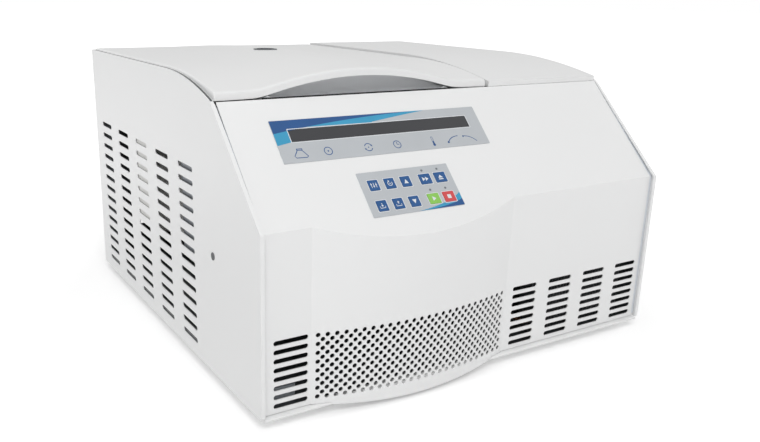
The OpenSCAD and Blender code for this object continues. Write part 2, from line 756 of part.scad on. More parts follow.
module chamber_insulation() {
  color(white) place() difference() {
    union() {
      translate([chamber_x, chamber_y, bowl_floor - 28]) cylinder(r = foam_r, h = deck_z - bowl_floor + 28, $fn = 180);
      // Pad that rests against the left-hand side panel
      box(-half_w + sheet + 0.4, chamber_x - foam_r + 30, foam_pad_y0, foam_pad_y1, bowl_floor - 20, deck_z - 20);
    }
    translate([chamber_x, chamber_y, bowl_floor - bowl_t]) cylinder(r = foam_in, h = 300, $fn = 180);
    translate([chamber_x, chamber_y, bowl_floor - 40]) cylinder(r = 26, h = 60);
    pipe_x(0, 80, feed_y, feed_z, feed_r);
  }
}

coil_turns = 6;
coil_pitch = 18;
coil_rings = 48;
coil_sides = 6;
coil_z0 = bowl_floor + 40;

// Point of the coil's skin: ring i along the helix, side j round the tube
function coil_point(i, j) =
  let (a = 360 * i / coil_rings, b = 360 * j / coil_sides, r = coil_mid + coil_r * cos(b))
  [r * cos(a), r * sin(a), coil_z0 + coil_pitch * i / coil_rings + coil_r * sin(b)];

module evaporator_coil() {
  n = coil_turns * coil_rings;
  color(copper) place() translate([chamber_x, chamber_y, 0]) polyhedron(
    points = [for (i = [0 : n], j = [0 : coil_sides - 1]) coil_point(i, j)],
    faces = concat(
      [[for (j = [0 : coil_sides - 1]) j]],
      [[for (j = [coil_sides - 1 : -1 : 0]) n * coil_sides + j]],
      [for (i = [0 : n - 1], j = [0 : coil_sides - 1])
        [i * coil_sides + j, (i + 1) * coil_sides + j, (i + 1) * coil_sides + (j + 1) % coil_sides]],
      [for (i = [0 : n - 1], j = [0 : coil_sides - 1])
        [i * coil_sides + j, (i + 1) * coil_sides + (j + 1) % coil_sides, i * coil_sides + (j + 1) % coil_sides]]
    )
  );
}

module lid_seal() {
  color(rubber) place() translate([chamber_x, chamber_y, deck_top + bowl_t]) rotate_extrude($fn = 180)
    translate([seal_r, 0]) {
      translate([0, seal_t]) circle(r = seal_t);
      translate([-seal_t, 0]) square([2 * seal_t, seal_t]);
    }
}

// Posts, a bracket, the wall beside the chamber and a rail: what carries the deck and the covers
module inner_frame() {
  post_x = -tray_half + sheet + 0.2;
  color(white) place() {
    for (y = [slope_end_y + 7, body_d - 32]) difference() {
      box(post_x, post_x + 18, y, y + 22, sheet, deck_z);
      box(post_x + sheet, post_x + 30, y + sheet, y + 30, -1, deck_z + 1);
    }
    box(post_x, post_x + 5, 186, 228, 130, deck_z);
    // Angle that stiffens the front corner of the tray
    box(post_x + 8, post_x + 50, 24, 24 + sheet, sheet, 22);
    box(post_x + 8, post_x + 50, 24, 42, sheet, 2 * sheet);
    difference() {
      across(cover_x0 + 2, cover_x0 + 2 + sheet) intersection() {
        translate([60, sheet]) square([body_d - 68, deck_z - sheet]);
        union() {
          panel_side(panel_t + 2);
          translate([200, 0]) square([400, 400]);
        }
      }
      pipe_x(cover_x0, cover_x0 + 10, feed_y, feed_low, 15);
    }
    box(cover_x1 - 12, tray_half - sheet, cover_y0 + 10, body_d - 8, deck_top - sheet, deck_top);
    box(tray_half - sheet, tray_half, cover_y0 + 10, body_d - 8, deck_top - 20, deck_top);
  }
}

mount_half = 95;
damper_h = 18;

module motor_mount_plate() {
  color(steel) place() translate([chamber_x, chamber_y, sheet + damper_h]) difference() {
    translate([-mount_half, -mount_half, 0]) cube([2 * mount_half, 2 * mount_half, 5]);
    translate([0, 0, -1]) cylinder(r = 30, h = 10);
    for (i = [-1, 1], j = [-1, 1]) translate([i * 80, j * 80, -1]) cylinder(r = 4, h = 10);
  }
}

module motor_dampers() {
  color(rubber) place() for (i = [-1, 1], j = [-1, 1])
    translate([chamber_x + i * 80, chamber_y + j * 80, sheet]) {
      rotate_extrude() difference() {
        square([14, damper_h]);
        translate([18, damper_h / 2]) circle(r = 8);
      }
      cylinder(r = 4, h = damper_h + 8);
    }
}

motor_z0 = sheet + damper_h + 5;
motor_h = 96;
bearing_h = 12;
bearing_r = 21;

module motor_housing() {
  color(steel) place() translate([chamber_x, chamber_y, motor_z0]) difference() {
    union() {
      cylinder(r = 60, h = 6);
      cylinder(r = 52, h = motor_h - 4);
      translate([0, 0, motor_h - 5]) cylinder(r = 24.5, h = 5);
      for (a = [0 : 15 : 345]) rotate([0, 0, a]) translate([50, -1.2, 8]) cube([7, 2.4, motor_h - 20]);
    }
    translate([0, 0, bearing_h]) cylinder(r = 40, h = motor_h - 2 * bearing_h - 4);
    translate([0, 0, -1]) cylinder(r = bearing_r, h = bearing_h + 2);
    translate([0, 0, motor_h - bearing_h - 5]) cylinder(r = bearing_r, h = bearing_h + 10);
  }
}

module motor_bearings() {
  color(steel) place() translate([chamber_x, chamber_y, motor_z0])
    for (z = [0, motor_h - bearing_h]) translate([0, 0, z]) ring(bearing_r, shaft_r + running_fit, bearing_h);
}

hub_z = pivot_z - 18;
rail_half = 7;
rail_y = bucket_len / 2 + bucket_t + 6.5;

module motor_shaft() {
  color(steel) place() translate([chamber_x, chamber_y, motor_z0 + 2]) {
    cylinder(r = shaft_r, h = hub_z + 34 - motor_z0 - 2);
    translate([0, 0, 20]) cylinder(r = 36, h = motor_h - 50);
  }
}

// Two arms joined by a hub, with a pin on each side of each bucket
module rotor_frame() {
  color(steel) place() translate([chamber_x, chamber_y, 0]) difference() {
    union() {
      translate([0, 0, hub_z - 14]) cylinder(r = 22, h = 44);
      box(-20, 20, -rail_y, rail_y, pivot_z - 8, pivot_z + 8);
      for (s = [-1, 1]) {
        translate([0, s * rail_y, 0]) hull() for (e = [-1, 1])
          translate([e * (pivot_r + 4), 0, pivot_z]) rotate([90, 0, 0]) cylinder(r = 11, h = 8, center = true, $fn = 32);
        for (e = [-1, 1]) translate([e * pivot_r, s * rail_y, pivot_z]) rotate([s * 90, 0, 0])
          cylinder(r = trunnion_r, h = rail_y - bucket_len / 2 - 0.3);
      }
    }
    translate([0, 0, 100]) cylinder(r = shaft_r, h = 300);
    for (s = [-1, 1]) translate([0, s * 50, pivot_z]) cylinder(r = 10, h = 60, center = true);
  }
}

module rotor_nut() {
  color(dark) place() translate([chamber_x, chamber_y, hub_z + 30]) difference() {
    union() {
      cylinder(r = 16, h = 12);
      for (a = [0 : 30 : 330]) rotate([0, 0, a]) translate([15.5, 0, 0]) cylinder(r = 2, h = 12, $fn = 24);
    }
    translate([0, 0, -1]) cylinder(r = shaft_r, h = 5.1);
  }
}

// Open carrier for one microplate, hanging from its two side pins
module bucket() {
  out_l = bucket_len / 2 + bucket_t;
  out_w = bucket_wid / 2 + bucket_t;
  difference() {
    union() {
      translate([0, 0, 8 - bucket_dep]) linear_extrude(height = bucket_dep)
        rounded_square(2 * out_w, 2 * out_l, 5);
      for (s = [-1, 1]) translate([0, s * out_l, 0]) rotate([-s * 90, 0, 0]) cylinder(r = 9, h = 2);
      for (s = [-1, 1]) translate([0, s * (out_l - 1), -10]) cube([18, 4, 12], center = true);
    }
    translate([0, 0, 8 - bucket_dep + bucket_t]) linear_extrude(height = bucket_dep)
      rounded_square(bucket_wid, bucket_len, 3);
    rotate([90, 0, 0]) cylinder(r = trunnion_r + running_fit, h = 200, center = true);
    translate([0, 0, -bucket_dep]) linear_extrude(height = 30) {
      for (i = [-1, 0, 1], j = [-1, 0, 1]) translate([i * 26, j * 38]) rounded_square(20, 30, 4);
    }
    for (s = [-1, 1]) translate([s * out_w, 0, -18]) rotate([90, 0, 90])
      linear_extrude(height = 20, center = true) rounded_square(70, 16, 6);
  }
}

module bucket_a() {
  color("lightsteelblue") place() translate([chamber_x + pivot_r, chamber_y, pivot_z]) bucket();
}

module bucket_b() {
  color("lightsteelblue") place() translate([chamber_x - pivot_r, chamber_y, pivot_z]) bucket();
}

comp_x = 205;
comp_y = 440;

module compressor() {
  color(dark) place() translate([comp_x, comp_y, 0]) {
    translate([0, 0, 24]) rotate_extrude() difference() {
      union() {
        translate([0, 25]) square([comp_r, comp_h - 60]);
        square([comp_r - 25, 50]);
        translate([comp_r - 25, 25]) circle(r = 25);
        translate([comp_r - 35, comp_h - 35]) circle(r = 35);
        translate([0, comp_h - 40]) square([comp_r - 35, 40]);
        translate([0, 90]) square([comp_r + 2, 8]);
      }
      translate([-100, -10]) square([100, comp_h + 30]);
    }
    for (a = [45 : 90 : 315]) rotate([0, 0, a]) difference() {
      box(20, comp_r + 22, -12, 12, 22, 26);
      translate([comp_r + 12, 0, 10]) cylinder(r = 4, h = 30);
    }
    for (a = [45 : 90 : 315]) rotate([0, 0, a]) translate([comp_r + 12, 0, sheet]) {
      cylinder(r = 9, h = 22 - sheet);
      cylinder(r = 4, h = 30 - sheet);
    }
  }
}

cond_x0 = cover_x0 + 26;
cond_x1 = half_w - 18;
cond_y0 = 26;
cond_y1 = 56;
cond_z1 = 150;

module condenser() {
  pitch = (cond_x1 - cond_x0 - 2) / (fin_count - 1);
  color(steel) place() {
    for (i = [0 : fin_count - 1]) box(cond_x0 + i * pitch, cond_x0 + i * pitch + 1, cond_y0, cond_y1, sheet, cond_z1);
    for (j = [0 : 4], k = [0 : 1]) translate([cond_x0 - 4, cond_y0 + 8 + k * 14, 20 + j * 26 + k * 13]) rotate([0, 90, 0])
      cylinder(r = 4, h = cond_x1 - cond_x0 + 8);
  }
}

fan_x = (cond_x0 + cond_x1) / 2;
fan_z = 76;
fan_y0 = cond_y1 + 4;
fan_y1 = fan_y0 + 28;

module fan_shroud() {
  color(dark) place() {
    difference() {
      rearward(cond_y1, fan_y1) difference() {
        translate([fan_x, fan_z]) square([2 * fan_r + 16, 2 * fan_r + 16], center = true);
        translate([fan_x, fan_z]) circle(r = fan_r + 3);
      }
    }
    rearward(fan_y1 - 3, fan_y1) difference() {
      union() {
        translate([fan_x, fan_z]) circle(r = 22);
        for (a = [45 : 90 : 315]) translate([fan_x, fan_z]) rotate(a) translate([0, -4]) square([fan_r + 6, 8]);
      }
      translate([fan_x, fan_z]) circle(r = 6);
    }
  }
}

module fan_motor() {
  color(dark) place() translate([fan_x, fan_y1, fan_z]) rotate([-90, 0, 0]) difference() {
    union() {
      cylinder(r = 22, h = 34);
      translate([0, 0, 34]) cylinder(r = 12, h = 6);
    }
    translate([0, 0, -1]) cylinder(r = 4 + running_fit, h = 25);
  }
}

module fan_blades() {
  color(pale) place() translate([fan_x, fan_y1 - 4, fan_z]) rotate([90, 0, 0]) {
    cylinder(r = 18, h = 18);
    translate([0, 0, -26]) cylinder(r = 4, h = 27);
    for (a = [0 : 72 : 288]) rotate([0, 0, a]) intersection() {
      translate([15, 0, 9]) rotate([30, 0, 0]) translate([0, -22, -1]) cube([fan_r, 44, 2]);
      translate([0, 0, 1]) cylinder(r = fan_r, h = 16);
    }
  }
}

module pipe_x(x0, x1, y, z, r) {
  translate([x0, y, z]) rotate([0, 90, 0]) cylinder(r = r, h = x1 - x0);
}

module pipe_y(x, y0, y1, z, r) {
  translate([x, y0, z]) rotate([-90, 0, 0]) cylinder(r = r, h = y1 - y0);
}

module pipe_z(x, y, z0, z1, r) {
  translate([x, y, z0]) cylinder(r = r, h = z1 - z0);
}

module joint_ball(x, y, z, r) {
  translate([x, y, z]) sphere(r = r);
}

// Pipes between the compressor, the condenser and the chamber coil, with the drier in the line
module refrigerant_pipes() {
  pr = feed_r;
  color(copper) place() {
    pipe_z(comp_x, comp_y, 24 + comp_h, 220, pr);
    joint_ball(comp_x, comp_y, 220, pr);
    pipe_y(comp_x, 120, comp_y, 220, pr);
    joint_ball(comp_x, 120, 220, pr);
    pipe_z(comp_x, 120, 170, 220, pr);
    joint_ball(comp_x, 120, 170, pr);
    pipe_y(comp_x, cond_y1 - 8, 120, 170, pr);
    joint_ball(comp_x, cond_y1 - 8, 170, pr);
    pipe_z(comp_x, cond_y1 - 8, cond_z1, 170, pr);
    // Line with the drier, from the condenser to the wall of the chamber
    pipe_x(line_x, cond_x0 - 4, cond_y0 + 8, 20, pr);
    joint_ball(line_x, cond_y0 + 8, 20, pr);
    pipe_y(line_x, cond_y0 + 8, 300, 20, pr);
    joint_ball(line_x, 300, 20, pr);
    pipe_y(line_x, 150, 230, 20, 9);
    pipe_z(line_x, 300, 20, feed_low, pr);
    joint_ball(line_x, 300, feed_low, pr);
    pipe_y(line_x, 300, feed_y, feed_low, pr);
    joint_ball(line_x, feed_y, feed_low, pr);
    pipe_x(78, line_x, feed_y, feed_low, pr);
    joint_ball(78, feed_y, feed_low, pr);
    pipe_z(78, feed_y, feed_low, feed_z, pr);
    joint_ball(78, feed_y, feed_z, pr);
    pipe_x(30, 78, feed_y, feed_z, pr);
  }
}

line_x = cover_x0 + 14;
feed_y = chamber_y + 125;
feed_z = coil_z0 + 6;
feed_low = 60;
feed_r = 3;

board_n = -4.6;
board_t = 1.6;
board_x0 = panel_cx - 142;
board_x1 = panel_cx + 142;
board_s0 = 2;
board_s1 = 136;
board_posts_x = [board_x0 + 8, board_x1 - 8];
board_posts_s = [12, 70, 128];
dome_top = -2.2;

module control_board() {
  color("darkgreen") place() on_slope() {
    difference() {
      box(board_x0, board_x1, board_s0, board_s1, board_n - board_t, board_n);
      for (x = board_posts_x, s = board_posts_s) translate([x, s, board_n - 5]) cylinder(r = 1.6, h = 10);
    }
    for (x = key_cols, r = [0, 1]) translate([x, key_row_s + r * key_row_pitch, board_n]) {
      cylinder(r = 3, h = dome_top - board_n);
      translate([-3.5, -3.5, 0]) cube([7, 7, 1.4]);
    }
    for (x = [board_x0 + 60, panel_cx, board_x1 - 70]) box(x, x + 24, 60, 84, board_n - board_t - 3, board_n - board_t);
    box(board_x0 + 20, board_x0 + 80, 20, 30, board_n - board_t - 9, board_n - board_t);
  }
}

module power_module() {
  color(dark) place() {
    box(cover_x0 + 2 + sheet, cover_x0 + 8 + sheet, 140, 340, 150, 290);
    for (i = [0 : 13]) box(cover_x0 + 8 + sheet, cover_x0 + 38, 145 + i * 14, 148 + i * 14, 155, 285);
  }
}

skin = 0.8;

module display_panel() {
  color(overlay) place() on_slope() translate([panel_cx, display_s + display_h / 2, 0])
    linear_extrude(height = skin) difference() {
      rounded_square(display_w, display_h, 1);
      translate([0, display_h / 2 - window_down]) square([window_w, window_h], center = true);
    }
}

module display_window() {
  color(dark) place() on_slope() translate([panel_cx, window_s, 0])
    linear_extrude(height = skin - 0.2) square([window_w, window_h], center = true);
}

module display_module() {
  color(dark) place() on_slope() {
    translate([panel_cx, window_s, board_n]) translate([0, 0, (-0.2 - board_n) / 2])
      cube([window_w - 8, window_h + 3, -0.2 - board_n], center = true);
  }
}

// Plan of the key with column c, grown by g
module key_plan(c, g) {
  rounded_square((c > 2 ? key_broad : key_side) + 2 * g, key_side + 2 * g, 0.8 + g);
}

module keypad_panel() {
  color(overlay) place() on_slope() linear_extrude(height = skin) difference() {
    translate([panel_cx, keypad_h / 2 - 0.1]) rounded_square(keypad_w, keypad_h, 1);
    for (c = [0 : 4], r = [0, 1]) translate([key_cols[c], key_row_s + r * key_row_pitch]) key_plan(c, key_gap);
  }
}

// One key: its cap stands a little out of the keypad, its foot ends above a dome of the board
module key(i) {
  c = i % 5;
  r = i < 5 ? 1 : 0;
  place() on_slope() translate([key_cols[c], key_row_s + r * key_row_pitch, 0]) {
    translate([0, 0, -1.2]) linear_extrude(height = skin + 1.2 + 0.5) key_plan(c, 0);
    translate([0, 0, dome_top + key_travel + 0.1]) cylinder(r = 2.5, h = 1);
  }
}

module key_1() {
  color(blue) key(0);
}

module key_2() {
  color(blue) key(1);
}

module key_3() {
  color(blue) key(2);
}

module key_4() {
  color(blue) key(3);
}

module key_5() {
  color(blue) key(4);
}

module key_6() {
  color(blue) key(5);
}

module key_7() {
  color(blue) key(6);
}

module key_8() {
  color(blue) key(7);
}

module key_9() {
  color(green) key(8);
}

module key_10() {
  color(red) key(9);
}

inlet_x = 215;
inlet_z = 62;
inlet_w = 62;
inlet_h = 34;
socket_w = 24.5;
socket_h = 17;
rocker_w = 19;
rocker_h = 13;

// Mains inlet with its switch frame beside the socket
module inlet_module() {
  color(dark) place() translate([inlet_x, 0, inlet_z]) {
    difference() {
      union() {
        translate([-inlet_w / 2, body_d, -inlet_h / 2]) cube([inlet_w, 2.5, inlet_h]);
        translate([-inlet_w / 2 + 3.2, body_d - 26, -inlet_h / 2 + 3.2]) cube([inlet_w - 6.4, 26.5, inlet_h - 6.4]);
      }
      translate([-13, body_d - 16, 0]) rotate([-90, 0, 0]) linear_extrude(height = 40)
        intersection() {
          square([socket_w, socket_h], center = true);
          translate([0, 3.5]) rotate(45) square([28, 28], center = true);
        }
      translate([16 - rocker_h / 2, body_d - 14, -rocker_w / 2]) cube([rocker_h, 40, rocker_w]);
    }
    for (p = [[-7, 2], [0, -2], [7, 2]]) translate([-13 + p[0], body_d - 17, p[1]]) translate([-1, 0, -2.5]) cube([2, 13, 5]);
  }
}

rocker_tilt = 8;

module power_rocker() {
  color("firebrick") place() translate([inlet_x + 16, body_d - 4, inlet_z]) rotate([rocker_tilt, 0, 0]) {
    difference() {
      translate([-rocker_h / 2 + 0.4, 0, 0]) rotate([90, 0, 90]) linear_extrude(height = rocker_h - 0.8)
        polygon([[-3, -6], [5.2, -8.6], [4.2, 0], [5.2, 8.6], [-3, 6]]);
    }
  }
}

// Brackets under the deck with the shaft's bearings and the lock's drive
module lock_housing() {
  color(steel) place() {
    for (s = [-1, 1]) translate([lid_cx + s * lock_span / 2, 0, 0]) for (l = [-1, 1]) difference() {
      across(l * 16 - 1.5, l * 16 + 1.5)
        polygon([[lock_shaft_y - 6, lock_shaft_z - 7], [lock_shaft_y + 5, lock_shaft_z - 7], [lock_shaft_y + 5, deck_z], [lock_shaft_y - 14, deck_z], [lock_shaft_y - 14, deck_z - 10]]);
      translate([-40, lock_shaft_y, lock_shaft_z]) rotate([0, 90, 0]) cylinder(r = lock_shaft_r + running_fit, h = 80);
    }
    box(lid_cx - 30, lid_cx + 30, lock_shaft_y - 34, lock_shaft_y - 8, deck_z - 44, deck_z);
  }
}

lock_open = 32;

// Hook drawn in its closed place, then turned back to its open place
module lock_hooks() {
  color(steel) place() translate([0, lock_shaft_y, lock_shaft_z]) rotate([-lock_open, 0, 0]) {
    translate([lid_cx - lock_span / 2 - 19, 0, 0]) rotate([0, 90, 0]) cylinder(r = lock_shaft_r, h = lock_span + 38);
    for (s = [-1, 1]) translate([lid_cx + s * lock_span / 2, 0, 0]) difference() {
      across(-3.5, 3.5) difference() {
        union() {
          circle(r = 7);
          polygon([[-5, 0], [5, 0], [4, 21], [-19, 21], [-19, 16], [-6, 16]]);
        }
        circle(r = lock_shaft_r);
      }
    }
    for (s = [-1, 1]) translate([lid_cx + s * lock_span / 2 - 3.5, 0, 0]) rotate([0, 90, 0]) cylinder(r = lock_shaft_r, h = 7);
  }
}

base_tray();
feet();
left_side_panel();
right_side_panel();
front_panel();
rear_panel();
right_top_cover();
chamber_deck();
finger_recess();
chamber_bowl();
chamber_insulation();
evaporator_coil();
lid_seal();
inner_frame();
motor_mount_plate();
motor_dampers();
motor_housing();
motor_bearings();
compressor();
condenser();
fan_shroud();
fan_motor();
fan_blades();
refrigerant_pipes();
control_board();
power_module();
display_panel();
display_window();
display_module();
keypad_panel();
inlet_module();
power_rocker();
lock_housing();
lock_hooks();
hinge_brackets();
hinge_pins();
release_plug();
panel_screws();
lid_cover();
lid_liner();
viewport_ring();
viewport_window();
lid_strikers();
hinge_arms();
rotor_frame();
rotor_nut();
motor_shaft();
bucket_a();
bucket_b();
key_1();
key_2();
key_3();
key_4();
key_5();
key_6();
key_7();
key_8();
key_9();
key_10();
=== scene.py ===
"""Looks of the benchtop microplate centrifuge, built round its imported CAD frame.

Sizes are in mm of the machine's own frame: y 0 is the front edge of the side panels, z 0 the bottom of the
casing. at() and on_slope() take them into the row frame in metres. Lamps and floor are placed in metres.
"""

import json
import math

import bmesh
import bpy
from mathutils import Matrix, Vector


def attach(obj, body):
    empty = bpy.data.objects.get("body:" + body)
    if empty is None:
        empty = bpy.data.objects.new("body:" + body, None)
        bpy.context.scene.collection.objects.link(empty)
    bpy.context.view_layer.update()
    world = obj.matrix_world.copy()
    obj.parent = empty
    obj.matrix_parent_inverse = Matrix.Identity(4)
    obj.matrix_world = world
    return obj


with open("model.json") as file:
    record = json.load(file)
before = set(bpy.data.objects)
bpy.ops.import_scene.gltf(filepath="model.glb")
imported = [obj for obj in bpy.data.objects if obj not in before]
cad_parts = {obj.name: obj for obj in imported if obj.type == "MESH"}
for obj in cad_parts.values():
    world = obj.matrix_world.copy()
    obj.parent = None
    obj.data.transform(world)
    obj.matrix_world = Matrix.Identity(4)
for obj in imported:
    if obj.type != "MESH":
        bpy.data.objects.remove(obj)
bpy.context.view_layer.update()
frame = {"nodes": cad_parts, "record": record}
nodes = frame["nodes"]
scene = bpy.context.scene

MM = 0.001
MID_Y, FOOT_H = 298.15, 14.0          # between the machine's own frame and the row frame
SETBACK, CREASE_Z = 6.0, 208.4        # front panel behind the flanges, height of its bend into the slope
SLOPE_END_Y, SLOPE_END_Z = 121.0, 328.0
SLOPE_A = math.atan2(SLOPE_END_Z - CREASE_Z, SLOPE_END_Y - SETBACK)
UP = Vector((0.0, math.cos(SLOPE_A), math.sin(SLOPE_A)))
OUT = Vector((0.0, -math.sin(SLOPE_A), math.cos(SLOPE_A)))
SKIN = 0.8                            # top of the overlays above the slope


def at(x, y, z):
    """Point of the machine's frame, in the row frame in metres."""
    return Vector((x, y - MID_Y, z + FOOT_H)) * MM


def on_slope(x, s, n=0.0):
    """Point x across, s up the slope from the crease and n out of it."""
    return at(x, SETBACK, CREASE_Z) + (UP * s + OUT * n) * MM


# Height of the slope's plane along OUT, in mm of the row frame
SLOPE_N = on_slope(0, 0).dot(OUT) / MM


# ---------------------------------------------------------------- camera, solved from the photo
PHOTO_W, PHOTO_H = 760, 442           # pixels
FOCAL_PX, CENTRE_PX = 779.84, (322.78, 229.60)
SENSOR = 36.0
CAMERA_AT = (-628.18, -672.0, 441.41)

cam_data = bpy.data.cameras.new("camera")
cam = bpy.data.objects.new("camera", cam_data)
scene.collection.objects.link(cam)
scene.camera = cam
cam_data.sensor_width = SENSOR
cam_data.lens = FOCAL_PX / PHOTO_W * SENSOR
cam_data.shift_x = (PHOTO_W / 2 - CENTRE_PX[0]) / PHOTO_W
cam_data.shift_y = (CENTRE_PX[1] - PHOTO_H / 2) / PHOTO_W
cam_data.clip_start, cam_data.clip_end = 0.05, 60.0
right = Vector((0.86284, -0.50524, 0.01532)).normalized()
down = Vector((-0.13290, -0.25600, -0.95750))
down = (down - right * down.dot(right)).normalized()
forward = right.cross(down).normalized()
cam.matrix_world = Matrix.Translation(at(*CAMERA_AT)) @ Matrix(
    ((right.x, -down.x, -forward.x), (right.y, -down.y, -forward.y), (right.z, -down.z, -forward.z))
).to_4x4()


# ---------------------------------------------------------------- materials
def srgb(text):
    """Linear colour of a hex value."""
    out = []
    for i in (0, 2, 4):
        v = int(text[i:i + 2], 16) / 255
        out.append(v / 12.92 if v <= 0.04045 else ((v + 0.055) / 1.055) ** 2.4)
    return tuple(out)


def math_of(t, operation, *values):
    """Output of a math node whose inputs are numbers or sockets."""
    step = t.nodes.new("ShaderNodeMath")
    step.operation = operation
    for socket, value in zip(step.inputs, values):
        if isinstance(value, (int, float)):
            socket.default_value = value
        else:
            t.links.new(value, socket)
    return step.outputs[0]


def blend(t, share, under, over):
    """Colour that goes from the socket under to the fixed colour over as share goes from 0 to 1."""
    mix = t.nodes.new("ShaderNodeMix")
    mix.data_type = "RGBA"
    mix.inputs["B"].default_value = (*over, 1)
    t.links.new(share, mix.inputs["Factor"])
    t.links.new(under, mix.inputs["A"])
    return mix.outputs["Result"]


def share_of(t, value, least, most, gain):
    """Value mapped from least..most to 0..gain."""
    step = t.nodes.new("ShaderNodeMapRange")
    t.links.new(value, step.inputs["Value"])
    step.inputs["From Min"].default_value, step.inputs["From Max"].default_value = least, most
    step.inputs["To Max"].default_value = gain
    return step.outputs[0]


def noise(t, place, scale, detail):
    """Noise at a given scale."""
    step = t.nodes.new("ShaderNodeTexNoise")
    step.inputs["Scale"].default_value = scale
    step.inputs["Detail"].default_value = detail
    t.links.new(place, step.inputs["Vector"])
    return step.outputs["Fac"]


# The second colour is painted shade, near black, for the casing's inner faces seen through the vents and gaps
DUST, INSIDE_PAINTED_SHADE = (0.6, 0.6, 0.58), (0.06, 0.065, 0.07)
COAT_ROUGH, ROUGH_VAR, GRAIN_DEPTH_M = 0.12, 0.06, 0.0004


def with_painted_shade(t, co, colour, tests):
    """Painted shade: dark where every test (kind, lowest, highest) holds, in mm of the row frame."""
    place, facing = t.nodes.new("ShaderNodeSeparateXYZ"), t.nodes.new("ShaderNodeSeparateXYZ")
    t.links.new(co.outputs["Object"], place.inputs[0])
    t.links.new(co.outputs["Normal"], facing.inputs[0])
    slant = t.nodes.new("ShaderNodeVectorMath")
    slant.operation = "DOT_PRODUCT"
    t.links.new(co.outputs["Object"], slant.inputs[0])
    slant.inputs[1].default_value = OUT
    values = {"half": math_of(t, "ABSOLUTE", place.outputs["X"]), "Y": place.outputs["Y"],
              "Z": place.outputs["Z"], "slope": slant.outputs["Value"], "rearward": facing.outputs["Y"]}
    held = None
    for kind, least, most in tests:
        unit = 1.0 if kind == "rearward" else MM
        test = math_of(t, "COMPARE", values[kind], (least + most) / 2 * unit, (most - least) / 2 * unit)
        held = math_of(t, "MULTIPLY", held, test) if held else test
    return blend(t, held, colour, INSIDE_PAINTED_SHADE)


def finish(name, colour, rough=0.4, metal=0.0, coat=0.0, tint=0.03, cloud=9.0, grain=700.0, bump=0.02,
           stretch=(1, 1, 1), dust=0.0, wear=0.0, shade_tests=None):
    """Procedural finish: a slow tint, a fine grain in bump and a varied roughness.

    Optional are dust on upward faces, pale worn edges, and painted shade, a dark colour where its tests hold.
    """
    m = bpy.data.materials.new(name)
    m.use_nodes = True
    t = m.node_tree
    t.nodes.clear()
    n, link = t.nodes.new, t.links.new
    out = n("ShaderNodeOutputMaterial")
    b = n("ShaderNodeBsdfPrincipled")
    link(b.outputs[0], out.inputs[0])
    b.inputs["Metallic"].default_value = metal
    b.inputs["Coat Weight"].default_value = coat
    b.inputs["Coat Roughness"].default_value = COAT_ROUGH
    co = n("ShaderNodeTexCoord")
    mp = n("ShaderNodeMapping")
    mp.inputs["Scale"].default_value = stretch
    link(co.outputs["Object"], mp.inputs["Vector"])
    slow, fine = noise(t, mp.outputs[0], cloud, 3.0), noise(t, mp.outputs[0], grain, 2.0)
    ramp = n("ShaderNodeValToRGB")
    for element, position, gain in zip(ramp.color_ramp.elements, (0.3, 0.7), (1 - tint, 1 + tint)):
        element.position = position
        element.color = (*[min(1.0, c * gain) for c in colour], 1)
    link(slow, ramp.inputs[0])
    colour_out = ramp.outputs[0]
    if dust:
        facing = n("ShaderNodeSeparateXYZ")
        link(n("ShaderNodeNewGeometry").outputs["Normal"], facing.inputs[0])
        colour_out = blend(t, share_of(t, facing.outputs["Z"], 0.5, 1.0, dust), colour_out, DUST)
    elif wear:
        edge = n("ShaderNodeNewGeometry").outputs["Pointiness"]
        worn = [min(1.0, c * 1.3 + 0.05) for c in colour]
        colour_out = blend(t, share_of(t, edge, 0.55, 0.62, wear), colour_out, worn)
    if shade_tests:
        colour_out = with_painted_shade(t, co, colour_out, shade_tests)
    link(colour_out, b.inputs["Base Color"])
    mr = n("ShaderNodeMapRange")
    mr.inputs["To Min"].default_value = max(0.02, rough - ROUGH_VAR)
    mr.inputs["To Max"].default_value = min(1.0, rough + ROUGH_VAR)
    link(slow, mr.inputs["Value"])
    link(mr.outputs[0], b.inputs["Roughness"])
    bp = n("ShaderNodeBump")
    bp.inputs["Strength"].default_value = bump
    bp.inputs["Distance"].default_value = GRAIN_DEPTH_M
    link(fine, bp.inputs["Height"])
    link(bp.outputs[0], b.inputs["Normal"])
    return m


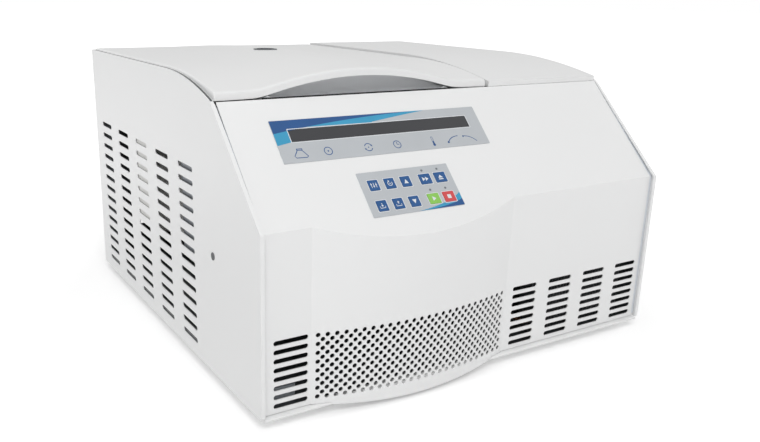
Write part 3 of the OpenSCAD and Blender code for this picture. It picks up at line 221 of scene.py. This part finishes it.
WHITE = (0.865, 0.868, 0.868)
PAINT = {"rough": 0.38, "tint": 0.008, "cloud": 5, "grain": 900, "bump": 0.05}
BEHIND_FRONT = ("Y", 14 - MID_Y, 400)
MATS = {
    "white": finish("paint_white", WHITE, coat=0.1, **PAINT),
    # The tray, side and rear panels carry painted shade: their inner faces inside the casing are painted dark
    "tray_white_painted_shade": finish("tray_white_painted_shade", WHITE, shade_tests=(BEHIND_FRONT, ("Z", FOOT_H + 0.7, 100)), **PAINT),
    "side_white_painted_shade": finish("side_white_painted_shade", WHITE, coat=0.1, **PAINT,
                         shade_tests=(("half", 299, 301.8), BEHIND_FRONT, ("slope", -600, SLOPE_N - 2))),
    "rear_white_painted_shade": finish("rear_white_painted_shade", WHITE, coat=0.1, shade_tests=(("rearward", -1.1, -0.5),), **PAINT),
    "lid_white": finish("lid_white", (0.85, 0.853, 0.852), 0.32, tint=0.006, cloud=4, grain=1200, bump=0.03),
    "foam_white": finish("foam_white", (0.80, 0.80, 0.78), 0.7, tint=0.04, cloud=60, grain=500, bump=0.3),
    "recess_grey": finish("recess_grey", (0.93, 0.94, 0.955), 0.34, metal=0.35, tint=0.01, cloud=20,
                          grain=900, bump=0.04),
    # This grey colours the strips of painted shade in the gaps beside the front panel
    "seal_grey": finish("seal_grey", (0.70, 0.73, 0.77), 0.5, tint=0.02, cloud=20, grain=900, bump=0.1),
    "frame_grey": finish("frame_grey", (0.30, 0.32, 0.35), 0.5, tint=0.02, cloud=12, bump=0.05),
    "deck_grey": finish("deck_grey", (0.72, 0.73, 0.74), 0.45, tint=0.02, cloud=10, bump=0.05),
    "liner_grey": finish("liner_grey", (0.74, 0.75, 0.75), 0.5, tint=0.02, cloud=12, bump=0.08),
    "rubber": finish("rubber_black", (0.022, 0.022, 0.024), 0.8, tint=0.12, cloud=60, grain=900, bump=0.25,
                     dust=0.12),
    "bowl_steel": finish("bowl_steel", (0.55, 0.56, 0.57), 0.28, metal=1.0, tint=0.05, cloud=30, grain=500,
                         bump=0.05, stretch=(1, 1, 18)),
    "zinc_steel": finish("zinc_steel", (0.58, 0.59, 0.60), 0.36, metal=1.0, tint=0.10, cloud=45, grain=400,
                         bump=0.06),
    "bearing_steel": finish("bearing_steel", (0.62, 0.62, 0.63), 0.16, metal=1.0, tint=0.04, cloud=40,
                            grain=900, bump=0.02),
    "cast_alloy": finish("cast_alloy", (0.46, 0.47, 0.49), 0.55, metal=0.9, tint=0.08, cloud=50, grain=350,
                         bump=0.4),
    "fin_alloy": finish("fin_alloy", (0.16, 0.17, 0.18), 0.42, metal=0.6, tint=0.08, cloud=35, grain=500,
                        bump=0.08),
    "rotor_alloy": finish("rotor_alloy", (0.42, 0.45, 0.50), 0.34, metal=0.85, tint=0.05, cloud=20, grain=900,
                          bump=0.06, wear=0.4),
    "rotor_dark": finish("rotor_dark", (0.05, 0.05, 0.055), 0.34, metal=0.6, tint=0.1, cloud=30, grain=900,
                         bump=0.06, wear=0.4),
    "bucket_alloy": finish("bucket_alloy", (0.50, 0.54, 0.60), 0.36, metal=0.8, tint=0.05, cloud=25,
                           grain=900, bump=0.08, wear=0.4),
    "copper": finish("copper_pipe", (0.62, 0.30, 0.17), 0.32, metal=1.0, tint=0.18, cloud=40, grain=500,
                     bump=0.06),
    "black_paint": finish("black_paint", (0.022, 0.022, 0.025), 0.4, tint=0.15, cloud=30, grain=700,
                          bump=0.15, dust=0.10),
    "black_plastic": finish("black_plastic", (0.03, 0.03, 0.033), 0.5, tint=0.12, cloud=30, grain=900,
                            bump=0.2, dust=0.05),
    "grey_plastic": finish("grey_plastic", (0.40, 0.41, 0.42), 0.5, tint=0.05, cloud=30, grain=700,
                           bump=0.15),
    "board_green": finish("board_green", (0.02, 0.10, 0.045), 0.35, tint=0.2, cloud=120, grain=900,
                          bump=0.08),
    "overlay": finish("overlay_film", srgb("BCC0C4"), 0.42, tint=0.02, cloud=25, grain=1600, bump=0.12),
    "window_dark": finish("window_dark", srgb("303135"), 0.30, tint=0.05, cloud=14, grain=900, bump=0.02,
                          coat=0.3),
    "window_glass": finish("viewport_glass", srgb("8C9498"), 0.08, tint=0.06, cloud=40, grain=600, bump=0.01,
                           coat=0.6),
    "ring_dark": finish("ring_grey", srgb("5A5E62"), 0.4, tint=0.06, cloud=30, grain=900, bump=0.1),
    "dark_plug": finish("plug_dark", srgb("4A4C4E"), 0.5, tint=0.08, cloud=60, grain=900, bump=0.1),
    "rocker_red": finish("rocker_red", (0.45, 0.03, 0.03), 0.25, tint=0.05, cloud=40, grain=900, bump=0.05,
                         coat=0.3),
    "key_blue": finish("key_blue", srgb("23568F"), 0.40, tint=0.04, cloud=80, grain=1600, bump=0.10),
    "key_green": finish("key_green", srgb("8DC95A"), 0.40, tint=0.03, cloud=80, grain=1600, bump=0.10),
    "key_red": finish("key_red", srgb("D34C4E"), 0.40, tint=0.03, cloud=80, grain=1600, bump=0.10),
    "print_blue": finish("print_blue", srgb("1F528C"), 0.42, tint=0.03, cloud=40, grain=1600, bump=0.08),
    "print_cyan": finish("print_cyan", srgb("3A9BC3"), 0.42, tint=0.03, cloud=40, grain=1600, bump=0.08),
    "print_white": finish("print_white", srgb("E2E5E8"), 0.45, tint=0.02, cloud=40, grain=1600, bump=0.08),
    "print_grey": finish("print_grey", srgb("70757A"), 0.45, tint=0.04, cloud=40, grain=1600, bump=0.08),
}
record_slots = {s["node"]: s["material_slot"] for s in frame["record"]["subparts"]}


def paint(obj, key):
    obj.data.materials.clear()
    obj.data.materials.append(MATS[key])


for node_name, obj in nodes.items():
    paint(obj, record_slots[node_name])
for node_name, key in (("base_tray", "tray_white_painted_shade"), ("left_side_panel", "side_white_painted_shade"),
                       ("right_side_panel", "side_white_painted_shade"), ("rear_panel", "rear_white_painted_shade")):
    paint(nodes[node_name], key)


# ---------------------------------------------------------------- mesh helpers
def piece(name, bm, mat, body, smooth_deg=None):
    bmesh.ops.recalc_face_normals(bm, faces=bm.faces)
    me = bpy.data.meshes.new(name)
    bm.to_mesh(me)
    bm.free()
    if smooth_deg:
        me.shade_smooth()
        me.set_sharp_from_angle(angle=math.radians(smooth_deg))
    o = bpy.data.objects.new(name, me)
    scene.collection.objects.link(o)
    o.data.materials.append(MATS[mat])
    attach(o, body)
    return o


def film_into(bm, outline, n0, n1):
    """Closed plate on the slope, from an outline of (x, s) points."""
    low = [bm.verts.new(on_slope(x, s, n0)) for x, s in outline]
    top = [bm.verts.new(on_slope(x, s, n1)) for x, s in outline]
    bm.faces.new(top)
    bm.faces.new(list(reversed(low)))
    k = len(outline)
    for i in range(k):
        j = (i + 1) % k
        bm.faces.new((low[i], low[j], top[j], top[i]))


def tube_into(bm, rows, closed):
    """Four-sided tube through rows of four corners each."""
    for i in range(len(rows) if closed else len(rows) - 1):
        a, b = rows[i], rows[(i + 1) % len(rows)]
        for u, v in ((0, 1), (1, 3), (3, 2), (2, 0)):
            bm.faces.new((a[u], a[v], b[v], b[u]))


def ribbon_into(bm, pts, width, n0, n1, closed=False):
    """Flat stroke of a given width along (x, s) points on the slope."""
    k = len(pts)
    sides = []
    for i in range(k):
        a = Vector(pts[(i - 1) % k] if closed or i else pts[0])
        b = Vector(pts[(i + 1) % k] if closed or i < k - 1 else pts[-1])
        d = (b - a).normalized()
        w = Vector((-d.y, d.x)) * width / 2
        p = Vector(pts[i])
        sides.append((p + w, p - w))
    rows = [[bm.verts.new(on_slope(q.x, q.y, n)) for q in (l, r) for n in (n0, n1)] for l, r in sides]
    tube_into(bm, rows, closed)
    if not closed:
        for r in (rows[0], rows[-1]):
            bm.faces.new((r[0], r[1], r[3], r[2]))


def frame_into(bm, outer, inner, n0, n1):
    """Flat ring between two outlines with the same number of points."""
    rows = [[bm.verts.new(on_slope(*p, n)) for p in (o, i) for n in (n0, n1)] for o, i in zip(outer, inner)]
    tube_into(bm, rows, True)


def ring_pts(cx, cs, r, a0=0.0, a1=360.0, k=40):
    """Points (x, s) of a circle, or of an arc between two angles."""
    steps = k if abs(a1 - a0) >= 360 else k - 1
    turns = [math.radians(a0 + (a1 - a0) * i / steps) for i in range(k)]
    return [(cx + r * math.cos(t), cs + r * math.sin(t)) for t in turns]


def bezier(p0, p1, p2, k=16):
    """Points of a quadratic curve."""
    shares = [((1 - t) ** 2, 2 * t * (1 - t), t * t) for t in (i / k for i in range(k + 1))]
    return [(a * p0[0] + b * p1[0] + c * p2[0], a * p0[1] + b * p1[1] + c * p2[1]) for a, b, c in shares]


def round_rect(cx, cs, w, h, r, k=5):
    """Outline of a rectangle with round corners."""
    pts = []
    for sx, sy, a in ((1, 1, 0), (-1, 1, 90), (-1, -1, 180), (1, -1, 270)):
        for i in range(k + 1):
            t = math.radians(a + 90 * i / k)
            pts.append((cx + sx * (w / 2 - r) + r * math.cos(t), cs + sy * (h / 2 - r) + r * math.sin(t)))
    return pts


# ---------------------------------------------------------------- grip under the lid, and strips of painted shade in the gaps
LID_CX, LID_Y0, LIP_TOP = -104.5, 123.0, 337.8
GRIP_HALF, GRIP_Y0, GRIP_Y1 = 135.9, 126.6, 168.9
GRIP_FOOT, GRIP_BASE = 322.2, 328.6
GRIP_RISE, GRIP_LEAN = 16.9, math.tan(math.radians(9.3))   # arch across, and rise towards the back
ARCH_R = (GRIP_HALF ** 2 + GRIP_RISE ** 2) / (2 * GRIP_RISE)
SCOOP_Y, SCOOP_Z, SCOOP_R, SCOOP_PLAN = LID_Y0 + 13.0, LIP_TOP + 14.0, 27.0, 300.0
CAD_SCOOP_TOP, PROUD = LIP_TOP + 3.5, 0.05
GRIP_CELLS, WALL_ANGLES = 60, range(60, 91, 2)
# A strip of painted shade in the gap between the front panel's top edge and the grip
SHADE_STRIP_Y0, SHADE_STRIP_Y1, SHADE_STRIP_TOP, SHADE_STRIP_HALF = 124.3, 126.4, 329.2, 134
GAP_IN, GAP_OUT = 296.7, 301.3


def scooped(gap, top):
    """Height left by a round scoop whose centre line is gap away."""
    return min(top, SCOOP_Z - math.sqrt(SCOOP_R ** 2 - gap * gap)) if abs(gap) < SCOOP_R else top


def grip_height(dx, y):
    """Height of the grip: an arched face with a scoop curved in plan, never under the CAD's straight scoop."""
    arched = GRIP_BASE + (y - GRIP_Y0) * GRIP_LEAN + math.sqrt(ARCH_R ** 2 - dx * dx) - ARCH_R + GRIP_RISE
    curved = scooped(math.hypot(dx, y - SCOOP_Y + SCOOP_PLAN) - SCOOP_PLAN, arched)
    return max(curved, scooped(y - SCOOP_Y, CAD_SCOOP_TOP) + PROUD)


bm = bmesh.new()
grid = []
rows = [GRIP_Y0 + (GRIP_Y1 - GRIP_Y0) * j / GRIP_CELLS for j in range(GRIP_CELLS + 1)]
for i in range(GRIP_CELLS + 1):
    dx = -GRIP_HALF + 2 * GRIP_HALF * i / GRIP_CELLS
    axis_y = SCOOP_Y - SCOOP_PLAN + math.sqrt(SCOOP_PLAN ** 2 - dx * dx)
    # The last rows go where the scoop's wall is steep
    wall = [axis_y + SCOOP_R * math.sin(math.radians(a)) for a in WALL_ANGLES]
    ys = sorted(rows[:-len(wall)] + [min(GRIP_Y1, max(GRIP_Y0, w)) for w in wall])
    ys = [GRIP_Y0] + ys[1:-1] + [GRIP_Y1]
    grid.append([bm.verts.new(at(LID_CX + dx, y, grip_height(dx, y))) for y in ys])
for a, b in zip(grid, grid[1:]):
    for j in range(len(a) - 1):
        bm.faces.new((a[j], b[j], b[j + 1], a[j + 1]))
front_rim, back_rim = [r[0] for r in grid], [r[-1] for r in reversed(grid)]
rim = front_rim + grid[-1][1:-1] + back_rim + list(reversed(grid[0][1:-1]))
foot = [bm.verts.new((v.co.x, v.co.y, at(0, 0, GRIP_FOOT).z)) for v in rim]
for i in range(len(rim)):
    j = (i + 1) % len(rim)
    bm.faces.new((rim[i], rim[j], foot[j], foot[i]))
bm.faces.new(foot)
piece("grip_liner", bm, "recess_grey", "housing", 30)


def prism(bm, outline, x0, x1):
    """Prism across the machine, from an outline of (y, z) points."""
    low = [bm.verts.new(at(x0, y, z)) for y, z in outline]
    high = [bm.verts.new(at(x1, y, z)) for y, z in outline]
    bm.faces.new(low)
    bm.faces.new(list(reversed(high)))
    for i in range(len(outline)):
        j = (i + 1) % len(outline)
        bm.faces.new((low[i], high[i], high[j], low[j]))


# Black strip of painted shade in that gap, under the grip's front edge
bm = bmesh.new()
prism(bm, [(SHADE_STRIP_Y0, GRIP_FOOT), (SHADE_STRIP_Y1, GRIP_FOOT), (SHADE_STRIP_Y1, SHADE_STRIP_TOP), (SHADE_STRIP_Y0, SHADE_STRIP_TOP)],
      LID_CX - SHADE_STRIP_HALF, LID_CX + SHADE_STRIP_HALF)
piece("grip_gap_shade", bm, "rubber", "housing")

# Grey strips of painted shade in the gaps beside the front panel: up its front, then up the slope and back
bm = bmesh.new()
gap_strip_outline = [(SETBACK + 0.4, 5.0), (SETBACK + 4.0, 5.0)]
for s, n in ((0.0, -4.0), (160.0, -6.0), (160.0, -2.7), (94.0, -0.5), (0.0, -0.5)):
    p = on_slope(0, s, n) / MM
    gap_strip_outline.append((p.y + MID_Y, p.z - FOOT_H))
for side in (-1, 1):
    prism(bm, gap_strip_outline, *sorted((side * GAP_IN, side * GAP_OUT)))
piece("gap_shade_strips", bm, "seal_grey", "housing")

# ---------------------------------------------------------------- print on the display overlay
TOP = SKIN + 0.06                     # top of the print above the slope
PANEL_CX, DISP_W, DISP_S, DISP_H = -98.0, 292.6, 79.2, 56.5
INSET, EDGE = 0.3, 0.9                # print inside the overlay's edge, print off the window
WIN_HALF, WIN_DROP, WIN_HALF_H = 127.2, 21.4, 8.6
LEFT, HIGH = PANEL_CX - DISP_W / 2 + INSET, DISP_S + DISP_H - INSET
WIN_X0, WIN_X1 = PANEL_CX - WIN_HALF, PANEL_CX + WIN_HALF
WIN_S0 = DISP_S + DISP_H - WIN_DROP - WIN_HALF_H
WIN_S1 = DISP_S + DISP_H - WIN_DROP + WIN_HALF_H
BORDER_X, BORDER_S = WIN_X0 - EDGE, WIN_S1 + EDGE

dark_edge = bezier((LEFT, 118.2), (-160, 132.0), (-52, HIGH), 24)
cyan_edge = bezier((LEFT, 102.6), (-130, 123.5), (-30, HIGH), 28)

bm = bmesh.new()
film_into(bm, dark_edge + [(LEFT, HIGH)], SKIN, TOP)
piece("print_corner_blue", bm, "print_blue", "housing")

# The cyan band in two parts: left of the window and above it
bm = bmesh.new()
lower = [p for p in cyan_edge if p[0] < BORDER_X] + [(BORDER_X, 106.0), (BORDER_X, 121.9)]
left_dark = [p for p in dark_edge if p[0] < BORDER_X]
film_into(bm, lower + list(reversed(left_dark)), SKIN, TOP)
upper = [p for p in cyan_edge if p[1] > BORDER_S]
over = [p for p in dark_edge if p[0] > BORDER_X and p[1] > BORDER_S]
film_into(bm, [over[0], (upper[0][0] - 1.0, BORDER_S)] + upper + list(reversed(over))[:-1], SKIN, TOP)
piece("print_band_cyan", bm, "print_cyan", "housing")

bm = bmesh.new()
cx, cs = (WIN_X0 + WIN_X1) / 2, (WIN_S0 + WIN_S1) / 2
frame_into(bm, round_rect(cx, cs, WIN_X1 - WIN_X0 + 1.6, WIN_S1 - WIN_S0 + 1.6, 1.0),
           round_rect(cx, cs, WIN_X1 - WIN_X0 - 0.2, WIN_S1 - WIN_S0 - 0.2, 0.3), SKIN - 0.1, TOP + 0.05)
piece("window_border", bm, "print_white", "housing")

# Pictograms under the window
ICON_S, ICON_R, INK, THIN = 90.2, 5.0, 0.95, 0.5
DIAL_X, TURN_X, CLOCK_X, THERMO_X = -184.6, -130.6, -90.0, -37.1


def ink(bm, pts, closed=False, width=INK):
    """Printed line."""
    ribbon_into(bm, pts, width, SKIN, TOP, closed=closed)


def dot(bm, x, s, r, k=16):
    """Printed round dot."""
    film_into(bm, ring_pts(x, s, r, k=k), SKIN, TOP)


bm = bmesh.new()
# Rotor head
ink(bm, [(-226.6, 85.2), (-213.6, 84.8), (-211.4, 86.4), (-214.6, 91.0), (-217.2, 94.6), (-222.6, 95.0),
         (-225.6, 91.0), (-228.2, 87.6)], closed=True)
ink(bm, [(-223.4, 96.6), (-216.2, 96.4)])
for x in (-223.2, -216.6):
    ink(bm, [(x, 94.8), (x, 96.6)])
# Dial
ink(bm, ring_pts(DIAL_X, ICON_S + 0.2, ICON_R), closed=True)
dot(bm, DIAL_X, ICON_S + 0.2, 1.0)
# Two arrows that turn
for a in (30, 210):
    ink(bm, ring_pts(TURN_X, ICON_S, ICON_R, a, a + 130))
dot(bm, TURN_X, ICON_S, 0.8)
for a in (30, 210):
    tip = (TURN_X + ICON_R * math.cos(math.radians(a)), ICON_S + ICON_R * math.sin(math.radians(a)))
    t = math.radians(a - 90)
    film_into(bm, [(tip[0] + r * math.cos(t + turn), tip[1] + r * math.sin(t + turn))
                   for r, turn in ((2.4, 0.0), (1.3, 1.7), (1.3, -1.7))], SKIN, TOP)
# Clock
ink(bm, ring_pts(CLOCK_X, ICON_S, ICON_R), closed=True)
ink(bm, [(CLOCK_X, ICON_S + 3.6), (CLOCK_X, ICON_S), (CLOCK_X + 3.0, ICON_S)])
# Thermometer
for x in (THERMO_X - 1.0, THERMO_X + 1.0):
    ink(bm, [(x, 86.2), (x, 95.2)], width=THIN)
ink(bm, ring_pts(THERMO_X, 95.2, 1.0, 0, 180, 10), width=THIN)
dot(bm, THERMO_X, 84.8, 1.9, k=20)
film_into(bm, [(-37.8, 85), (-36.4, 85), (-36.4, 90), (-37.8, 90)], SKIN, TOP)
# Run-up and run-down curves
ink(bm, bezier((-15.2, 85.2), (-9.5, 94.0), (3.4, 94.2), 14))
dot(bm, -14.6, 86.2, 1.5)
ink(bm, bezier((10.6, 93.2), (22.5, 93.4), (29.8, 84.2), 14))
dot(bm, 11.4, 92.9, 1.2)
piece("pictograms", bm, "print_blue", "housing")

# ---------------------------------------------------------------- print on the keypad and the keys
KEY_X = [PANEL_CX + v for v in (-47.6, -25.5, -3.1, 24.8, 47.0)]
KEY_S = (13.0, 39.7)
KEY_H = 13.4
KEY_W = (KEY_H, KEY_H, KEY_H, 16.1, 16.1)
PAD_R, PAD_LOW, PAD_MID = PANEL_CX + 64.2 - 0.3, 0.0, SKIN + 0.03
BORDER_OUT, BORDER_IN = 2.2, 0.6      # growth of a key's border past the key
LAMP_R, LAMP_TOP = 1.4, SKIN + 0.25

for name, curve, n0, n1, mat in (
        ("keypad_swoosh_cyan", ((-101.0, PAD_LOW), (-55.0, 4.0), (PAD_R, 17.0)), SKIN, PAD_MID, "print_cyan"),
        ("keypad_swoosh_blue", ((-88.0, PAD_LOW), (-50.0, 1.6), (PAD_R, 8.6)), PAD_MID, TOP, "print_blue")):
    bm = bmesh.new()
    film_into(bm, bezier(*curve, 18) + [(PAD_R, PAD_LOW)], n0, n1)
    piece(name, bm, mat, "housing")

bm = bmesh.new()
for x, w in zip(KEY_X, KEY_W):
    for s in KEY_S:
        frame_into(bm, round_rect(x, s, w + BORDER_OUT, KEY_H + BORDER_OUT, 1.6),
                   round_rect(x, s, w + BORDER_IN, KEY_H + BORDER_IN, 1.1), SKIN, TOP + 0.04)
piece("key_borders", bm, "print_white", "housing")

bm = bmesh.new()
for s in (51.5, 24.9):
    for x in KEY_X[3:]:
        film_into(bm, ring_pts(x, s, LAMP_R, k=20), SKIN, LAMP_TOP)
piece("key_lamps", bm, "print_grey", "housing")

KEY_TOP = 1.3                         # face of the keys above the slope
MARK = KEY_TOP + 0.06


def plate(bm, pts):
    """Filled mark on a key."""
    film_into(bm, pts, KEY_TOP, MARK)


def bar(bm, x, s, w, h):
    """Rectangle w by h on a key."""
    plate(bm, [(x - w / 2, s - h / 2), (x + w / 2, s - h / 2), (x + w / 2, s + h / 2),
               (x - w / 2, s + h / 2)])


def stroke(bm, pts):
    """Line on a key."""
    ribbon_into(bm, pts, 0.75, KEY_TOP, MARK)


for i in range(10):
    x, s = KEY_X[i % 5], KEY_S[1 if i < 5 else 0]
    bm = bmesh.new()
    if i == 0:      # three sliders
        for dx, dy in ((-3.2, 1.2), (0.0, -1.2), (3.2, 0.6)):
            bar(bm, x + dx, s, 0.7, 6.2)
            bar(bm, x + dx, s + dy, 2.0, 1.3)
    elif i == 1:    # turning arrow
        stroke(bm, ring_pts(x, s, 2.9, 110, 390, 26))
        plate(bm, [(x + 0.4, s + 2.9), (x - 1.8, s + 4.3), (x - 1.8, s + 1.5)])
        plate(bm, ring_pts(x, s, 0.8, k=14))
    elif i == 2:    # up
        plate(bm, [(x - 2.9, s - 2.6), (x + 2.9, s - 2.6), (x, s + 3.0)])
    elif i == 3:    # fast forward
        for dx in (-4.3, 0.2):
            plate(bm, [(x + dx, s - 2.7), (x + dx + 4.1, s), (x + dx, s + 2.7)])
    elif i == 4:    # open the lid
        plate(bm, [(x - 3.4, s - 0.9), (x + 3.4, s - 0.9), (x, s + 3.1)])
        bar(bm, x, s - 2.6, 6.8, 1.2)
    elif i in (5, 6):    # arrow into or out of a tray
        stroke(bm, [(x - 3.4, s - 0.6), (x - 3.4, s - 2.9), (x + 3.4, s - 2.9), (x + 3.4, s - 0.6)])
        turn = -1 if i == 5 else 1
        bar(bm, x, s + 1.4 - 0.4 * turn, 0.8, 3.0)
        tip = s + 1.0 + 2.4 * turn
        plate(bm, [(x - 1.7, tip - 2.0 * turn), (x + 1.7, tip - 2.0 * turn), (x, tip)][::turn])
    elif i == 7:    # down
        plate(bm, [(x - 2.9, s + 2.6), (x, s - 3.0), (x + 2.9, s + 2.6)])
    elif i == 8:    # start
        plate(bm, [(x - 2.1, s - 3.0), (x + 3.0, s), (x - 2.1, s + 3.0)])
    else:           # stop
        plate(bm, round_rect(x, s, 5.2, 5.2, 0.3))
    piece(f"key_mark_{i + 1}", bm, "print_white", f"key_{i + 1}")

# ---------------------------------------------------------------- floor and light, in metres
FLOOR_HALF, FLOOR_COLOUR = 30.0, (0.86, 0.86, 0.86, 1)
NEAR, FAR = (0.45, 0.30), (1.3, 1.0)  # distance from the middle and glow there, as camera and mirrors see it
GLOW_LEAST = 0.10                     # glow for all other rays
SKY, MIRROR = 0.40, 0.70              # level of the surroundings for diffuse rays and in reflections


def floor_paint():
    """Pale floor that keeps the shadow near the object and is white further out."""
    m = bpy.data.materials.new("floor_pale")
    m.use_nodes = True
    t = m.node_tree
    t.nodes.clear()
    n, link = t.nodes.new, t.links.new
    out = n("ShaderNodeOutputMaterial")
    diff = n("ShaderNodeBsdfDiffuse")
    diff.inputs["Color"].default_value = FLOOR_COLOUR
    glow = n("ShaderNodeEmission")
    rays = n("ShaderNodeLightPath").outputs
    add = n("ShaderNodeAddShader")
    reach = n("ShaderNodeVectorMath")
    reach.operation = "LENGTH"
    link(n("ShaderNodeNewGeometry").outputs["Position"], reach.inputs[0])
    far = n("ShaderNodeMapRange")
    far.inputs["From Min"].default_value, far.inputs["To Min"].default_value = NEAR
    far.inputs["From Max"].default_value, far.inputs["To Max"].default_value = FAR
    link(reach.outputs["Value"], far.inputs["Value"])
    seen = math_of(t, "MAXIMUM", rays["Is Camera Ray"], rays["Is Glossy Ray"])
    seen = math_of(t, "MAXIMUM", seen, rays["Is Transmission Ray"])
    level = math_of(t, "MAXIMUM", math_of(t, "MULTIPLY", seen, far.outputs[0]), GLOW_LEAST)
    link(level, glow.inputs["Strength"])
    link(diff.outputs[0], add.inputs[0])
    link(glow.outputs[0], add.inputs[1])
    link(add.outputs[0], out.inputs[0])
    return m


floor_me = bpy.data.meshes.new("floor")
floor_me.from_pydata([(x * FLOOR_HALF, y * FLOOR_HALF, 0) for x, y in ((-1, -1), (1, -1), (1, 1), (-1, 1))],
                     [], [(0, 1, 2, 3)])
floor = bpy.data.objects.new("floor", floor_me)
scene.collection.objects.link(floor)
floor_me.materials.append(floor_paint())

world = bpy.data.worlds.new("studio")
scene.world = world
world.use_nodes = True
t = world.node_tree
t.nodes.clear()
out = t.nodes.new("ShaderNodeOutputWorld")
sky = t.nodes.new("ShaderNodeBackground")
sky.inputs["Color"].default_value = (1.0, 1.0, 1.0, 1)
rays = t.nodes.new("ShaderNodeLightPath").outputs
level = SKY
for kind, most in (("Is Camera Ray", 1.0), ("Is Transmission Ray", 1.0), ("Is Glossy Ray", MIRROR)):
    level = math_of(t, "MULTIPLY_ADD", rays[kind], most - SKY, level)
t.links.new(level, sky.inputs["Strength"])
t.links.new(sky.outputs[0], out.inputs[0])

LAMP_AIM = (0, 0, 0.2)


def lamp(name, loc, size, watts):
    """Round area lamp, in metres, turned to the object."""
    d = bpy.data.lights.new(name, "AREA")
    d.shape = "DISK"
    d.size = size
    d.energy = watts
    o = bpy.data.objects.new(name, d)
    scene.collection.objects.link(o)
    o.location = loc
    o.rotation_mode = "QUATERNION"
    o.rotation_quaternion = (Vector(LAMP_AIM) - Vector(loc)).to_track_quat("-Z", "Y")


lamp("key_light", (-1.1, -2.2, 2.9), 2.0, 56)
lamp("side_light", (-3.0, -0.4, 1.3), 2.0, 5)
lamp("top_light", (0.0, 0.2, 3.2), 2.4, 9)
lamp("right_light", (3.2, -0.3, 1.4), 2.0, 7)
lamp("back_light", (-0.6, 3.4, 1.5), 2.0, 6)

scene.view_settings.view_transform = "Standard"
